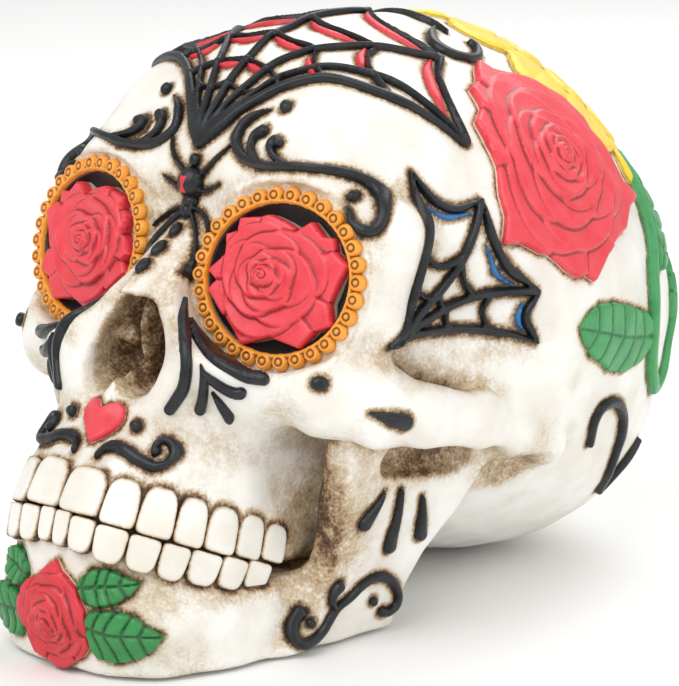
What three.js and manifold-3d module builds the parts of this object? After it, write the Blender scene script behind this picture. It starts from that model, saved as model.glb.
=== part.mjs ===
// Painted sugar skull, a cast ornament of life size with raised reliefs. Millimetres, +Z up, the face looks
// along -Y and +X is the skull's own left. Each relief, tooth row and pad is a closed solid of its own.

import * as THREE from 'three';
import { mergeVertices } from 'three/addons/utils/BufferGeometryUtils.js';
import Module from 'manifold-3d';

const wasm = await Module();
wasm.setup();

// Driving sizes of the head. Places and lumps of bone are shares of these three.
const faceWidth = 100;
const skullLength = 200;
const browHeight = 100;

// Fits
const fitGap = 0.3;
const leastGap = 0.1;
const rootDepth = 2;
const cutOverrun = 40;

// Facets of the bone: small on the face, large on the cranium
const faceFacet = 7;
const craniumFacet = 12;

// Steps along the strokes of the reliefs
const webPitch = 9;
const strokePitch = 5;
const fineProbe = 0.5;

// Pads under the casting
const padThickness = 1;
const padDiameter = 14;

// Eye pieces
const ringWidth = 46;
const ringHeight = 42.6;
const ringThickness = 2.4;
const ringBand = 4.2;
const scallopCount = 30;
const scallopDepth = 1.3;
const socketDepth = 9;
const socketRim = 1.2;
const cupWall = 1.4;
const cupFloorWidth = 24;
const eyeRoseWidth = 36;
const eyeRoseStemWidth = 12;
const eyeRoseTop = 5;

// Teeth, from the middle of the jaw to the last molar
const toothWidths = [12, 9, 9.2, 8.2, 9.2, 8.4, 8.2];
const upperCrown = 10.5;
const lowerCrown = 8.2;
const toothDepth = 6;
const toothGroove = 1;
const biteGap = 0.5;

// Painted reliefs: half widths of their strokes and their heights over the bone
const webBorderHalfWidth = 1.6;
const webSpokeHalfWidth = 1.2;
const webArcHalfWidth = 0.9;
const webHeight = 2.5;
const scrollHalfWidth = 1.4;
const scrollHeight = 1.8;
const sprayHalfWidth = 1.5;
const cheekTearHalfWidth = 1.8;
const jawTearHalfWidth = 2.3;
const dotWidth = 3.4;
const dotHeight = 1.6;
const spiderLegHalfWidth = 0.5;
const spiderLegHeight = 1.4;
const spiderBodyWidth = 6.6;
const spiderHeight = 4;
const heartWidth = 11;
const heartHeight = 1.6;
const leafHeight = 2.2;
const chinUpperLeafHalfWidth = 3.6;
const chinLowerLeafHalfWidth = 5.6;
const vineFrontLeafHalfWidth = 8.5;
const vineUpperLeafHalfWidth = 6.5;
const chinRoseWidth = 26;
const chinRoseHeight = 5.2;
const sideRoseWidth = 56;
const sideRoseHeight = 6.5;
const backFlowerWidth = 100;
const backFlowerHeight = 4;
const vineHalfWidth = 1.9;
const vineHeight = 2.4;

// Drawing fields: the reliefs are drawn on squares of these sizes
const wideField = 50;
const smallField = 20;

// Paints and casts
const finish = (color, roughness) => new THREE.MeshStandardMaterial({ color, roughness, metalness: 0 });
const bone = finish(0xe9e2d2, 0.55);
const enamel = finish(0xefe8d6, 0.45);
const black = finish(0x24262a, 0.35);
const orange = finish(0xe0942a, 0.5);
const coral = finish(0xd8323c, 0.5);
const crimson = finish(0xc0222c, 0.5);
const green = finish(0x2f7d4a, 0.5);
const yellow = finish(0xe8c93a, 0.5);
const felt = finish(0x2b2623, 0.95);

// Small helpers
const radians = THREE.MathUtils.degToRad;
const fullTurn = 2 * Math.PI;
const at = (x, y, z) => new THREE.Vector3(x * faceWidth, y * skullLength, z * browHeight);
const thick = (share) => share * browHeight;

// Distance functions for the bone, in mm, negative inside
function ellipsoid(centreShares, radiusShares, tilt = 0) {
  const centre = at(...centreShares);
  const radii = at(...radiusShares);
  const cosine = Math.cos(radians(tilt));
  const sine = Math.sin(radians(tilt));
  return (x, y, z) => {
    const dy = y - centre.y;
    const dz = z - centre.z;
    const px = (x - centre.x) / radii.x;
    const py = (dy * cosine + dz * sine) / radii.y;
    const pz = (dz * cosine - dy * sine) / radii.z;
    const near = Math.hypot(px, py, pz);
    const slope = Math.hypot(px / radii.x, py / radii.y, pz / radii.z);
    return slope > 0 ? (near * (near - 1)) / slope : -Math.min(radii.x, radii.y, radii.z);
  };
}

function roundCone(startShares, endShares, startShare, endShare, squash = 1) {
  const start = at(...startShares);
  const end = at(...endShares);
  const startRadius = thick(startShare);
  const endRadius = thick(endShare);
  const dx = (end.x - start.x) * squash;
  const dy = end.y - start.y;
  const dz = end.z - start.z;
  const square = dx * dx + dy * dy + dz * dz;
  return (x, y, z) => {
    const px = (x - start.x) * squash;
    const py = y - start.y;
    const pz = z - start.z;
    const along = THREE.MathUtils.clamp((px * dx + py * dy + pz * dz) / square, 0, 1);
    const away = Math.hypot(px - along * dx, py - along * dy, pz - along * dz);
    return (away - startRadius - (endRadius - startRadius) * along) / Math.max(1, 0.75 * squash);
  };
}

function softMin(a, b, blend) {
  const overlap = Math.max(blend - Math.abs(a - b), 0);
  return Math.min(a, b) - (overlap * overlap) / (4 * blend);
}

function softMax(a, b, blend) {
  return -softMin(-a, -b, blend);
}

// The bite plane leans up to the back: forward and height are measured along and square to it
const biteTilt = radians(23.5);
const biteOrigin = at(0, 0.225, 0.178);

function toBite(y, z) {
  const dy = y - biteOrigin.y;
  const dz = z - biteOrigin.z;
  const forward = dz * Math.sin(biteTilt) - dy * Math.cos(biteTilt);
  const height = dy * Math.sin(biteTilt) + dz * Math.cos(biteTilt);
  return { forward, height };
}

function fromBite(x, forward, height) {
  const y = biteOrigin.y - forward * Math.cos(biteTilt) + height * Math.sin(biteTilt);
  const z = biteOrigin.z + forward * Math.sin(biteTilt) + height * Math.cos(biteTilt);
  return new THREE.Vector3(x, y, z);
}

// A dental arch seen from above: a rounded outline that is open to the back
function archDistance(x, forward, halfWidth, reach, power) {
  const ahead = Math.max(forward, 0);
  const acrossShare = Math.abs(x) / halfWidth;
  const aheadShare = ahead / reach;
  const near = Math.pow(Math.pow(acrossShare, power) + Math.pow(aheadShare, power), 1 / power);
  const slope = Math.hypot(acrossShare / halfWidth, aheadShare / reach);
  return slope > 0 ? (near * (near - 1)) / slope : -halfWidth;
}

// Outline of the upright branch of the jaw, seen from the side, as y and z shares
const branchShares = [
  [0.18, 0], [0.22, 0.1], [0.235, 0.22], [0.23, 0.36], [0.22, 0.56], [0.44, 0.52],
  [0.47, 0.44], [0.46, 0.37], [0.425, 0.27], [0.39, 0.19], [0.365, 0.08], [0.36, 0],
];
const branchOutline = branchShares.map(([y, z]) => at(0, y, z));

function outlineDistance(y, z, outline) {
  let square = Infinity;
  let sign = 1;
  outline.forEach((a, index) => {
    const b = outline[(index + outline.length - 1) % outline.length];
    const ey = b.y - a.y;
    const ez = b.z - a.z;
    const wy = y - a.y;
    const wz = z - a.z;
    const along = THREE.MathUtils.clamp((wy * ey + wz * ez) / (ey * ey + ez * ez), 0, 1);
    square = Math.min(square, (wy - ey * along) ** 2 + (wz - ez * along) ** 2);
    const over = z >= a.z;
    const under = z < b.z;
    const left = ey * wz > ez * wy;
    if ((over && under && left) || (!over && !under && !left)) sign = -sign;
  });
  return sign * Math.sqrt(square);
}

// The crown slants to the sides at the back: a flat cut square to this line, with a wide blend
const crownSlant = new THREE.Vector3(0.62, 0.187, 0.763);
const crownSlantReach = thick(1.535);

// Lumps that blend into the cranium and the face, with the width of each blend as a share
const craniumLumps = [
  [ellipsoid([0, 0.57, 0.74], [0.66, 0.35, 0.67]), 0],
  [ellipsoid([0, 0.43, 0.9], [0.56, 0.225, 0.51]), 0.14],
  [ellipsoid([0, 0.7, 0.5], [0.57, 0.25, 0.5]), 0.1],
  [roundCone([0.04, 0.265, 1.04], [0.3, 0.27, 1.11], 0.07, 0.06), 0.08],
  [roundCone([0.3, 0.27, 1.11], [0.5, 0.3, 1.01], 0.06, 0.05), 0.08],
  [roundCone([0.5, 0.3, 1.01], [0.51, 0.28, 0.8], 0.05, 0.06), 0.07],
  [ellipsoid([0, 0.27, 0.72], [0.34, 0.135, 0.26]), 0.1],
  [ellipsoid([0, 0.22, 0.66], [0.36, 0.145, 0.22], -10), 0.06],
  [roundCone([0.085, 0.23, 0.99], [0.15, 0.145, 0.78], 0.05, 0.05), 0.06],
  [roundCone([0.15, 0.145, 0.78], [0.11, 0.11, 0.62], 0.05, 0.05), 0.05],
];
const cheekLumps = [
  [roundCone([0.26, 0.18, 0.7], [0.42, 0.22, 0.66], 0.09, 0.1), 0.08],
  [roundCone([0.44, 0.225, 0.66], [0.53, 0.265, 0.61], 0.095, 0.09, 1.8), 0.07],
  [roundCone([0.53, 0.265, 0.61], [0.575, 0.32, 0.585], 0.085, 0.075, 1.8), 0.03],
  [roundCone([0.575, 0.32, 0.585], [0.595, 0.4, 0.54], 0.075, 0.06, 1.8), 0.03],
  [roundCone([0.595, 0.4, 0.54], [0.58, 0.49, 0.49], 0.06, 0.05, 1.8), 0.03],
];
const foreheadBoss = ellipsoid([0.24, 0.375, 1.09], [0.24, 0.115, 0.23]);
const noseBridge = roundCone([0, 0.25, 0.986], [0, 0.116, 0.844], 0.048, 0.032);
const nasion = ellipsoid([0, 0.16, 1.06], [0.16, 0.0675, 0.125]);
const noseDish = ellipsoid([0, 0.045, 0.78], [0.21, 0.0875, 0.19]);
const backCorner = ellipsoid([0.28, 0.68, 0.69], [0.32, 0.21, 0.35]);
const earRoot = roundCone([0.57, 0.485, 0.47], [0.57, 0.545, 0.42], 0.052, 0.046);
const throat = ellipsoid([0, 0.33, 0.38], [0.34, 0.17, 0.32]);
const temple = ellipsoid([0.66, 0.35, 0.8], [0.12, 0.09, 0.14]);
const cheekRecess = roundCone([0.515, 0.25, 0.47], [0.535, 0.36, 0.44], 0.055, 0.055);

function upperArch(x, y, z) {
  const { forward, height } = toBite(y, z);
  const over = THREE.MathUtils.clamp(height - thick(0.1), 0, thick(0.16));
  const power = 2.65 + (5 * over) / browHeight;
  const outline = archDistance(x, forward, thick(0.304) - 0.2 * over, thick(0.49) - 0.45 * over, power);
  const band = softMax(outline, Math.abs(height - thick(0.17)) - thick(0.14), thick(0.05));
  return softMax(band, -forward - thick(0.04), thick(0.03));
}

function innerMass(x, y, z) {
  const { forward, height } = toBite(y, z);
  const outline = archDistance(x, forward, thick(0.21), thick(0.42), 2);
  const band = softMax(outline, Math.abs(height) - thick(0.24), thick(0.03));
  return softMax(band, -forward - thick(0.14), thick(0.03));
}

function skullDistance(signedX, y, z) {
  const x = Math.abs(signedX);
  let distance = Infinity;
  for (const [lump, blend] of craniumLumps) {
    distance = blend ? softMin(distance, lump(x, y, z), thick(blend)) : lump(x, y, z);
  }
  const slant = crownSlant.x * x + crownSlant.y * y + crownSlant.z * z - crownSlantReach;
  distance = softMax(distance, slant, thick(0.3));
  distance = softMin(distance, upperArch(x, y, z), thick(0.06));
  for (const [lump, blend] of cheekLumps) distance = softMin(distance, lump(x, y, z), thick(blend));
  distance = softMin(distance, foreheadBoss(x, y, z), thick(0.08));
  distance = softMin(distance, ringSeatDistance(x, y, z), thick(0.04));
  distance = softMin(distance, backCorner(x, y, z), thick(0.08));
  distance = softMax(distance, -noseDish(x, y, z), thick(0.05));
  distance = softMax(distance, -nasion(x, y, z), thick(0.06));
  distance = softMin(distance, noseBridge(x, y, z), thick(0.04));
  distance = softMin(distance, earRoot(x, y, z), thick(0.05));
  distance = softMax(distance, -temple(x, y, z), thick(0.09));
  distance = softMin(distance, throat(x, y, z), thick(0.04));
  distance = softMin(distance, innerMass(x, y, z), thick(0.03));
  return softMax(distance, -cheekRecess(x, y, z), thick(0.03));
}

function jawDistance(signedX, y, z) {
  const x = Math.abs(signedX);
  const { forward, height } = toBite(y, z);
  const flare = thick(0.4) + 0.24 * (z - thick(0.13)) + 0.13 * (y - thick(0.47));
  const plate = Math.abs(x - flare + thick(0.04)) - thick(0.04);
  const branch = softMax(outlineDistance(y, z, branchOutline), plate, thick(0.03));
  const outline = archDistance(x, thick(0.5) - y, thick(0.34), thick(0.515), 3);
  let body = softMax(outline, Math.abs(z - thick(0.09)) - thick(0.11), thick(0.05));
  body = softMax(body, y - thick(0.6), thick(0.04));
  const reach = thick(0.482) + 0.3 * Math.min(height + thick(0.06), 0);
  const gum = archDistance(x, forward, thick(0.298), reach, 2.6);
  let ridge = softMax(gum, Math.abs(height + thick(0.13)) - thick(0.1), thick(0.04));
  ridge = softMax(ridge, -forward - thick(0.02), thick(0.03));
  const distance = softMin(softMin(body, ridge, thick(0.05)), branch, thick(0.06));
  return softMax(distance, -cheekRecess(x, y, z), thick(0.03));
}

// The left eye's own frame: it carries a ring, a cup and a rose, and looks a little out and up
const eyeSplay = radians(11);
const eyeTilt = radians(15);
const eyeFrame = new THREE.Object3D();
eyeFrame.position.copy(at(0.305, 0.21, 0.903));
eyeFrame.rotation.set(Math.PI / 2 - eyeTilt, 0, eyeSplay, 'ZXY');
eyeFrame.updateMatrix();
const toEyeFrame = eyeFrame.matrix.clone().invert();
const scratchPoint = new THREE.Vector3();

function ringSeatDistance(x, y, z) {
  scratchPoint.set(x, y, z).applyMatrix4(toEyeFrame);
  const round = Math.hypot(scratchPoint.x, (scratchPoint.y * ringWidth) / ringHeight);
  const bandMiddle = (ringWidth - ringBand) / 2 - socketRim;
  const band = Math.abs(round - bandMiddle) - ringBand / 2 - socketRim;
  const depth = Math.abs(scratchPoint.z + ringThickness) - ringThickness - fitGap;
  return softMax(band, depth, thick(0.015));
}

// A grid line every fine step inside the fine stretch, and every coarse step outside it
function gridLines(from, to, fineFrom, fineTo, fine, coarse) {
  const lines = [from];
  while (lines[lines.length - 1] < to) {
    const last = lines[lines.length - 1];
    lines.push(last + (last >= fineFrom && last < fineTo ? fine : coarse));
  }
  return lines;
}

function mirroredLines(reach, fineTo, fine, coarse) {
  const right = gridLines(0, reach, 0, fineTo, fine, coarse);
  const left = right.slice(1).map((value) => -value).reverse();
  return [...left, ...right];
}

// Turns a distance function into a closed mesh with one vertex in each grid cell that the surface crosses
function boneMesh(distance, xLines, yLines, zLines) {
  const nx = xLines.length;
  const ny = yLines.length;
  const nz = zLines.length;
  const index = (i, j, k) => (i * ny + j) * nz + k;
  const field = new Float64Array(nx * ny * nz);
  for (let i = 0; i < nx; i += 1) {
    for (let j = 0; j < ny; j += 1) {
      for (let k = 0; k < nz; k += 1) field[index(i, j, k)] = distance(xLines[i], yLines[j], zLines[k]);
    }
  }
  clearCheckerboards(field, nx, ny, nz, index);

  const cellVertex = new Int32Array(nx * ny * nz).fill(-1);
  const positions = [];
  for (let i = 0; i < nx - 1; i += 1) {
    for (let j = 0; j < ny - 1; j += 1) {
      for (let k = 0; k < nz - 1; k += 1) {
        const point = cellPoint(field, index, xLines, yLines, zLines, i, j, k);
        if (!point) continue;
        cellVertex[index(i, j, k)] = positions.length / 3;
        positions.push(...point);
      }
    }
  }

  const triangles = [];
  const steps = [[1, 0, 0], [0, 1, 0], [0, 0, 1]];
  for (let i = 1; i < nx - 1; i += 1) {
    for (let j = 1; j < ny - 1; j += 1) {
      for (let k = 1; k < nz - 1; k += 1) {
        steps.forEach((step, axis) => {
          const here = field[index(i, j, k)] < 0;
          const there = field[index(i + step[0], j + step[1], k + step[2])] < 0;
          if (here === there) return;
          const u = steps[(axis + 1) % 3];
          const v = steps[(axis + 2) % 3];
          const quad = [[0, 0], [1, 0], [1, 1], [0, 1]].map(([a, b]) => (
            cellVertex[index(i - a * u[0] - b * v[0], j - a * u[1] - b * v[1], k - a * u[2] - b * v[2])]
          ));
          if (!here) quad.reverse();
          pushQuad(triangles, positions, quad);
        });
      }
    }
  }
  return { positions, triangles };
}

// A face of the grid with its corners in and out by turns would pinch the mesh, so one corner is filled
function clearCheckerboards(field, nx, ny, nz, index) {
  const faces = [[[1, 0, 0], [0, 1, 0]], [[0, 1, 0], [0, 0, 1]], [[0, 0, 1], [1, 0, 0]]];
  let changed = true;
  while (changed) {
    changed = false;
    for (let i = 0; i < nx - 1; i += 1) {
      for (let j = 0; j < ny - 1; j += 1) {
        for (let k = 0; k < nz - 1; k += 1) {
          for (const [u, v] of faces) {
            const corners = [[0, 0], [1, 0], [1, 1], [0, 1]].map(([a, b]) => (
              index(i + a * u[0] + b * v[0], j + a * u[1] + b * v[1], k + a * u[2] + b * v[2])
            ));
            const inside = corners.map((corner) => field[corner] < 0);
            if (inside[0] !== inside[2] || inside[1] !== inside[3] || inside[0] === inside[1]) continue;
            const outer = corners.filter((corner) => field[corner] >= 0);
            const nearest = field[outer[0]] < field[outer[1]] ? outer[0] : outer[1];
            field[nearest] = -fitGap;
            changed = true;
          }
        }
      }
    }
  }
}

// The mean of the points where the surface crosses the edges of one cell
function cellPoint(field, index, xLines, yLines, zLines, i, j, k) {
  const sum = [0, 0, 0];
  let count = 0;
  for (let corner = 0; corner < 8; corner += 1) {
    const a = [corner & 1, (corner >> 1) & 1, (corner >> 2) & 1];
    for (let axis = 0; axis < 3; axis += 1) {
      if (a[axis]) continue;
      const b = a.slice();
      b[axis] = 1;
      const fromValue = field[index(i + a[0], j + a[1], k + a[2])];
      const toValue = field[index(i + b[0], j + b[1], k + b[2])];
      if (fromValue < 0 === toValue < 0) continue;
      const share = fromValue / (fromValue - toValue);
      const from = [xLines[i + a[0]], yLines[j + a[1]], zLines[k + a[2]]];
      const to = [xLines[i + b[0]], yLines[j + b[1]], zLines[k + b[2]]];
      for (let c = 0; c < 3; c += 1) sum[c] += from[c] + (to[c] - from[c]) * share;
      count += 1;
    }
  }
  return count ? sum.map((value) => value / count) : null;
}

// Splits a quad along its shorter diagonal
function pushQuad(triangles, positions, quad) {
  const span = (p, q) => Math.hypot(...[0, 1, 2].map((c) => positions[3 * p + c] - positions[3 * q + c]));
  const [a, b, c, d] = quad;
  if (span(a, c) <= span(b, d)) triangles.push(a, b, c, a, c, d);
  else triangles.push(b, c, d, b, d, a);
}

// Moves every vertex out along its normal, further where its facets meet at an angle
function grown({ positions, triangles }, distance) {
  if (!distance) return { positions, triangles };
  const count = positions.length / 3;
  const sums = Array.from({ length: count }, () => new THREE.Vector3());
  const touching = Array.from({ length: count }, () => []);
  const points = Array.from({ length: count }, (_, v) => new THREE.Vector3().fromArray(positions, 3 * v));
  for (let t = 0; t < triangles.length; t += 3) {
    const [a, b, c] = [0, 1, 2].map((n) => points[triangles[t + n]]);
    const facing = b.clone().sub(a).cross(c.clone().sub(a));
    const unit = facing.clone().normalize();
    for (let n = 0; n < 3; n += 1) {
      sums[triangles[t + n]].add(facing);
      if (facing.length() > 0) touching[triangles[t + n]].push(unit);
    }
  }
  const moved = points.flatMap((point, v) => {
    const normal = sums[v].normalize();
    const least = Math.min(...touching[v].map((unit) => unit.dot(normal)));
    return point.addScaledVector(normal, distance / Math.max(least, 0.45)).toArray();
  });
  return { positions: moved, triangles };
}

// Solids and booleans
function solidOf({ positions, triangles }) {
  const vertProperties = new Float32Array(positions);
  const triVerts = new Uint32Array(triangles);
  return new wasm.Manifold(new wasm.Mesh({ numProp: 3, vertProperties, triVerts }));
}

function meshData(geometry, matrix = new THREE.Matrix4()) {
  const bare = geometry.clone().applyMatrix4(matrix);
  bare.deleteAttribute('normal');
  bare.deleteAttribute('uv');
  const merged = mergeVertices(bare, 1e-4);
  return { positions: Array.from(merged.attributes.position.array), triangles: Array.from(merged.index.array) };
}

function geometryOf(solid) {
  const mesh = solid.getMesh();
  const geometry = new THREE.BufferGeometry();
  geometry.setAttribute('position', new THREE.BufferAttribute(mesh.vertProperties, 3));
  geometry.setIndex(new THREE.BufferAttribute(mesh.triVerts, 1));
  geometry.computeVertexNormals();
  return geometry;
}

// Turns a closed mesh so that its faces look out
function outward({ positions, triangles }) {
  const point = (n) => new THREE.Vector3().fromArray(positions, 3 * n);
  let volume = 0;
  for (let t = 0; t < triangles.length; t += 3) {
    const [a, b, c] = [0, 1, 2].map((n) => point(triangles[t + n]));
    volume += a.dot(b.cross(c));
  }
  if (volume > 0) return { positions, triangles };
  const turned = triangles.slice();
  for (let t = 0; t < turned.length; t += 3) [turned[t], turned[t + 1]] = [turned[t + 1], turned[t]];
  return { positions, triangles: turned };
}

function mirrored({ positions, triangles }) {
  return outward({ positions: positions.map((value, n) => (n % 3 ? value : -value)), triangles });
}

// Dishes and prisms with an elliptical plan, turned about the axis of the eye
function eyeLathe(profile) {
  const geometry = new THREE.LatheGeometry(profile, eyeSegments);
  geometry.rotateX(Math.PI / 2);
  geometry.scale(1, ringHeight / ringWidth, 1);
  return outward(meshData(geometry, eyeFrame.matrix));
}

const eyeSegments = 28;
const socketRadius = ringWidth / 2 - ringBand - socketRim;

function socketMesh(shrink) {
  const seatRadius = ringWidth / 2 + fitGap - shrink;
  const holeRadius = socketRadius - shrink;
  const floorRadius = cupFloorWidth / 2 + fitGap - shrink;
  const profile = [
    new THREE.Vector2(0, -socketDepth + shrink),
    new THREE.Vector2(floorRadius, -socketDepth + shrink),
    new THREE.Vector2(holeRadius, shrink),
    new THREE.Vector2(seatRadius, shrink),
    new THREE.Vector2(seatRadius, cutOverrun),
    new THREE.Vector2(0, cutOverrun),
  ];
  return eyeLathe(profile);
}

// The opening of the nose: two lobes below and one above
const noseLobes = [
  [[0.048, 0.1, 0.715], [0.07, 0.09, 0.09]],
  [[-0.048, 0.1, 0.715], [0.07, 0.09, 0.09]],
  [[0, 0.11, 0.77], [0.07, 0.08, 0.085]],
];

function noseCutter(shrink) {
  return noseLobes.map(([centreShares, radiusShares]) => {
    const radii = at(...radiusShares).subScalar(shrink);
    const ball = new THREE.SphereGeometry(1, 12, 8);
    ball.scale(radii.x, radii.y, radii.z);
    const centre = at(...centreShares);
    ball.translate(centre.x, centre.y, centre.z);
    return solidOf(meshData(ball));
  });
}

function belowBase(shrink) {
  const box = new THREE.BoxGeometry(3 * faceWidth, 3 * skullLength, cutOverrun);
  box.translate(0, 0, padThickness + fitGap - shrink - cutOverrun / 2);
  return solidOf(meshData(box));
}

const gridMargin = craniumFacet;
const skullMesh = boneMesh(
  skullDistance,
  mirroredLines(0.8 * faceWidth, 0.42 * faceWidth, faceFacet, 1.3 * faceFacet),
  gridLines(-2 * gridMargin, skullLength, 0, 0.33 * skullLength, faceFacet, craniumFacet),
  gridLines(-2 * gridMargin, 1.6 * browHeight, 0, 1.15 * browHeight, faceFacet, craniumFacet),
);
const jawMesh = boneMesh(
  jawDistance,
  mirroredLines(0.7 * faceWidth, 0.7 * faceWidth, faceFacet, faceFacet),
  gridLines(-3 * faceFacet, 0.55 * skullLength, 0, skullLength, faceFacet, faceFacet),
  gridLines(-3 * faceFacet, 0.7 * browHeight, 0, browHeight, faceFacet, faceFacet),
);

function skullSolid(grow) {
  const socket = socketMesh(grow);
  let solid = solidOf(grown(skullMesh, grow)).subtract(solidOf(socket)).subtract(solidOf(mirrored(socket)));
  for (const lobe of noseCutter(grow)) solid = solid.subtract(lobe);
  return solid.subtract(belowBase(grow));
}

const skullCutter = skullSolid(fitGap);
const rootedCutters = [skullCutter, solidOf(grown(jawMesh, fitGap))];
const boneCutters = [skullSolid(leastGap), solidOf(grown(jawMesh, leastGap)).subtract(belowBase(leastGap))];

// A seat is a drawing plane in front of the bone. A point drawn on it is carried back onto the bone.
const bareBone = [skullMesh, jawMesh].map((mesh) => new THREE.Mesh(geometryOf(solidOf(mesh))));
const caster = new THREE.Raycaster();

function boneDistance(x, y, z) {
  return Math.min(skullDistance(x, y, z), jawDistance(x, y, z));
}

function boneNormal({ x, y, z }) {
  return new THREE.Vector3(
    boneDistance(x + fineProbe, y, z) - boneDistance(x - fineProbe, y, z),
    boneDistance(x, y + fineProbe, z) - boneDistance(x, y - fineProbe, z),
    boneDistance(x, y, z + fineProbe) - boneDistance(x, y, z - fineProbe),
  ).normalize();
}

// A line of sight that passes the bone by is carried to the bone nearest to it
function boneBeside(start, inward) {
  const point = start.clone();
  const nearest = start.clone();
  let least = Infinity;
  for (let reach = 0; reach < 2 * skullLength;) {
    const distance = boneDistance(point.x, point.y, point.z);
    if (distance < least) nearest.copy(point);
    least = Math.min(least, distance);
    const step = Math.max(distance, fineProbe);
    point.addScaledVector(inward, step);
    reach += step;
  }
  for (let turn = 0; turn < 8; turn += 1) {
    nearest.addScaledVector(boneNormal(nearest), -boneDistance(nearest.x, nearest.y, nearest.z));
  }
  return nearest;
}

function seat(aimShares, azimuth, elevation) {
  const a = radians(azimuth);
  const e = radians(elevation);
  const out = new THREE.Vector3(Math.sin(a) * Math.cos(e), -Math.cos(a) * Math.cos(e), Math.sin(e));
  const right = new THREE.Vector3(Math.cos(a), Math.sin(a), 0);
  const up = out.clone().cross(right);
  return (u, v, lift) => {
    const start = at(...aimShares).addScaledVector(right, u).addScaledVector(up, v);
    start.addScaledVector(out, skullLength);
    const inward = out.clone().negate();
    caster.set(start, inward);
    const [hit] = caster.intersectObjects(bareBone, false);
    const spot = hit ? hit.point.clone() : boneBeside(start, inward);
    return spot.addScaledVector(boneNormal(spot), lift);
  };
}

const foreheadSeat = seat([0, 0.475, 0.8], 0, 55);
const spiderSeat = seat([0, 0.45, 0.85], 0, 35);
const browSeat = seat([0.305, 0.35, 0.927], 11, 15);
const noseSeat = seat([0, 0.3, 0.6], 0, 0);
const spraySeat = seat([0.3, 0.225, 0.7], 41, 13.6);
const chinSeat = seat([0, 0.225, 0.2], 0, 0);
const templeSeat = seat([0, 0.375, 0.88], 80, 15);
const jawSeat = seat([0, 0.3, 0.32], 75, 0);
const sideSeat = seat([0, 0.6, 0.8], 82, 25);
const napeSeat = seat([0, 0.65, 0.5], 90, 5);
const crownSeat = seat([0, 0.7, 0.8], 30, 50);
const backSeat = seat([0, 0.55, 0.7], 180, 35);
const eyeSeat = (u, v, lift) => new THREE.Vector3(u, v, lift).applyMatrix4(eyeFrame.matrix);

// Rows of points become the side of a closed mesh, each row joined to the next and both ends shut
function middleOf(row) {
  return row.reduce((sum, point) => sum.add(point), new THREE.Vector3()).divideScalar(row.length);
}

function skin(rows, ends = [middleOf(rows[0]), middleOf(rows[rows.length - 1])]) {
  const size = rows[0].length;
  const points = [...rows.flat(), ...ends];
  const positions = points.flatMap((point) => point.toArray());
  const triangles = [];
  for (let c = 0; c < size; c += 1) {
    const next = (c + 1) % size;
    for (let r = 0; r < rows.length - 1; r += 1) {
      const quad = [r * size + c, r * size + next, (r + 1) * size + next, (r + 1) * size + c];
      pushQuad(triangles, positions, quad);
    }
    const last = (rows.length - 1) * size;
    triangles.push(rows.length * size, next, c);
    triangles.push(rows.length * size + 1, last + c, last + next);
  }
  return outward({ positions, triangles });
}

// Sections of a stroke: how far across, as a share of the half width, and how high, as a share of the height
const squareSection = [[-1, 0], [1, 0], [1, 1], [-1, 1]];
const flatSection = [[-1, 0], [1, 0], [0.65, 1], [-0.65, 1]];
const roundSection = [[-1, 0], [1, 0], [0.85, 0.7], [0, 1], [-0.85, 0.7]];
const leafSection = [[-1, 0], [0, 0], [1, 0], [0.9, 0.55], [0.45, 1], [0, 0.6], [-0.45, 1], [-0.9, 0.55]];

// How the width of a stroke changes along it
const evenWidth = () => 1;
const strandWidth = (share) => 0.9 + 0.1 * Math.sin(Math.PI * share);
const taperedWidth = (share) => 0.35 + 0.65 * Math.min(1, 5 * Math.min(share, 1 - share));
const dropWidth = (share) => 0.15 + 0.85 * Math.sin(Math.PI * (0.04 + 0.88 * share) ** 1.7) ** 0.8;
const leafWidth = (share) => 0.1 + 0.9 * Math.sin(Math.PI * share ** 0.8) ** 0.75;

function stroke(place, shares, field, look) {
  const { halfWidth, height, section = roundSection, width = taperedWidth, pitch = strokePitch } = look;
  const points = shares.map(([u, v]) => new THREE.Vector3(u * field, v * field, 0));
  const curve = new THREE.CatmullRomCurve3(points, false, 'centripetal');
  const steps = Math.max(2, Math.round(curve.getLength() / pitch));
  const rows = [];
  for (let n = 0; n <= steps; n += 1) {
    const middle = curve.getPointAt(n / steps);
    const along = curve.getTangentAt(n / steps);
    rows.push(section.map(([across, rise]) => {
      const reach = across * halfWidth * width(n / steps);
      const lift = fitGap + rise * (height - fitGap);
      return place(middle.x - reach * along.y, middle.y + reach * along.x, lift);
    }));
  }
  return skin(rows);
}

const wideStroke = (place, shares, look) => stroke(place, shares, wideField, look);

// Strokes that cross are joined on the flat and then laid on the bone as one body
const flat = (u, v, lift) => new THREE.Vector3(u, v, lift);

function joinedStrokes(place, groups) {
  const bodies = groups.flatMap(({ paths, field = wideField, look }) => (
    paths.map((shares) => solidOf(stroke(flat, shares, field, look)))
  ));
  const mesh = bodies.reduce((sum, body) => sum.add(body)).getMesh();
  const points = Array.from({ length: mesh.vertProperties.length / 3 }, (_, n) => (
    place(...mesh.vertProperties.slice(3 * n, 3 * n + 3))
  ));
  return [{ positions: points.flatMap((point) => point.toArray()), triangles: Array.from(mesh.triVerts) }];
}

// A patch is built of rings, from its crown out to its rim and back under it
function patch(place, centre, outline, rings) {
  const rows = rings.map(({ share, lift }) => (
    outline.map(([u, v]) => place(centre[0] + u * share, centre[1] + v * share, lift))
  ));
  const ends = [rings[0], rings[rings.length - 1]].map(({ lift }) => place(...centre, lift));
  return skin(rows, ends);
}

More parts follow.
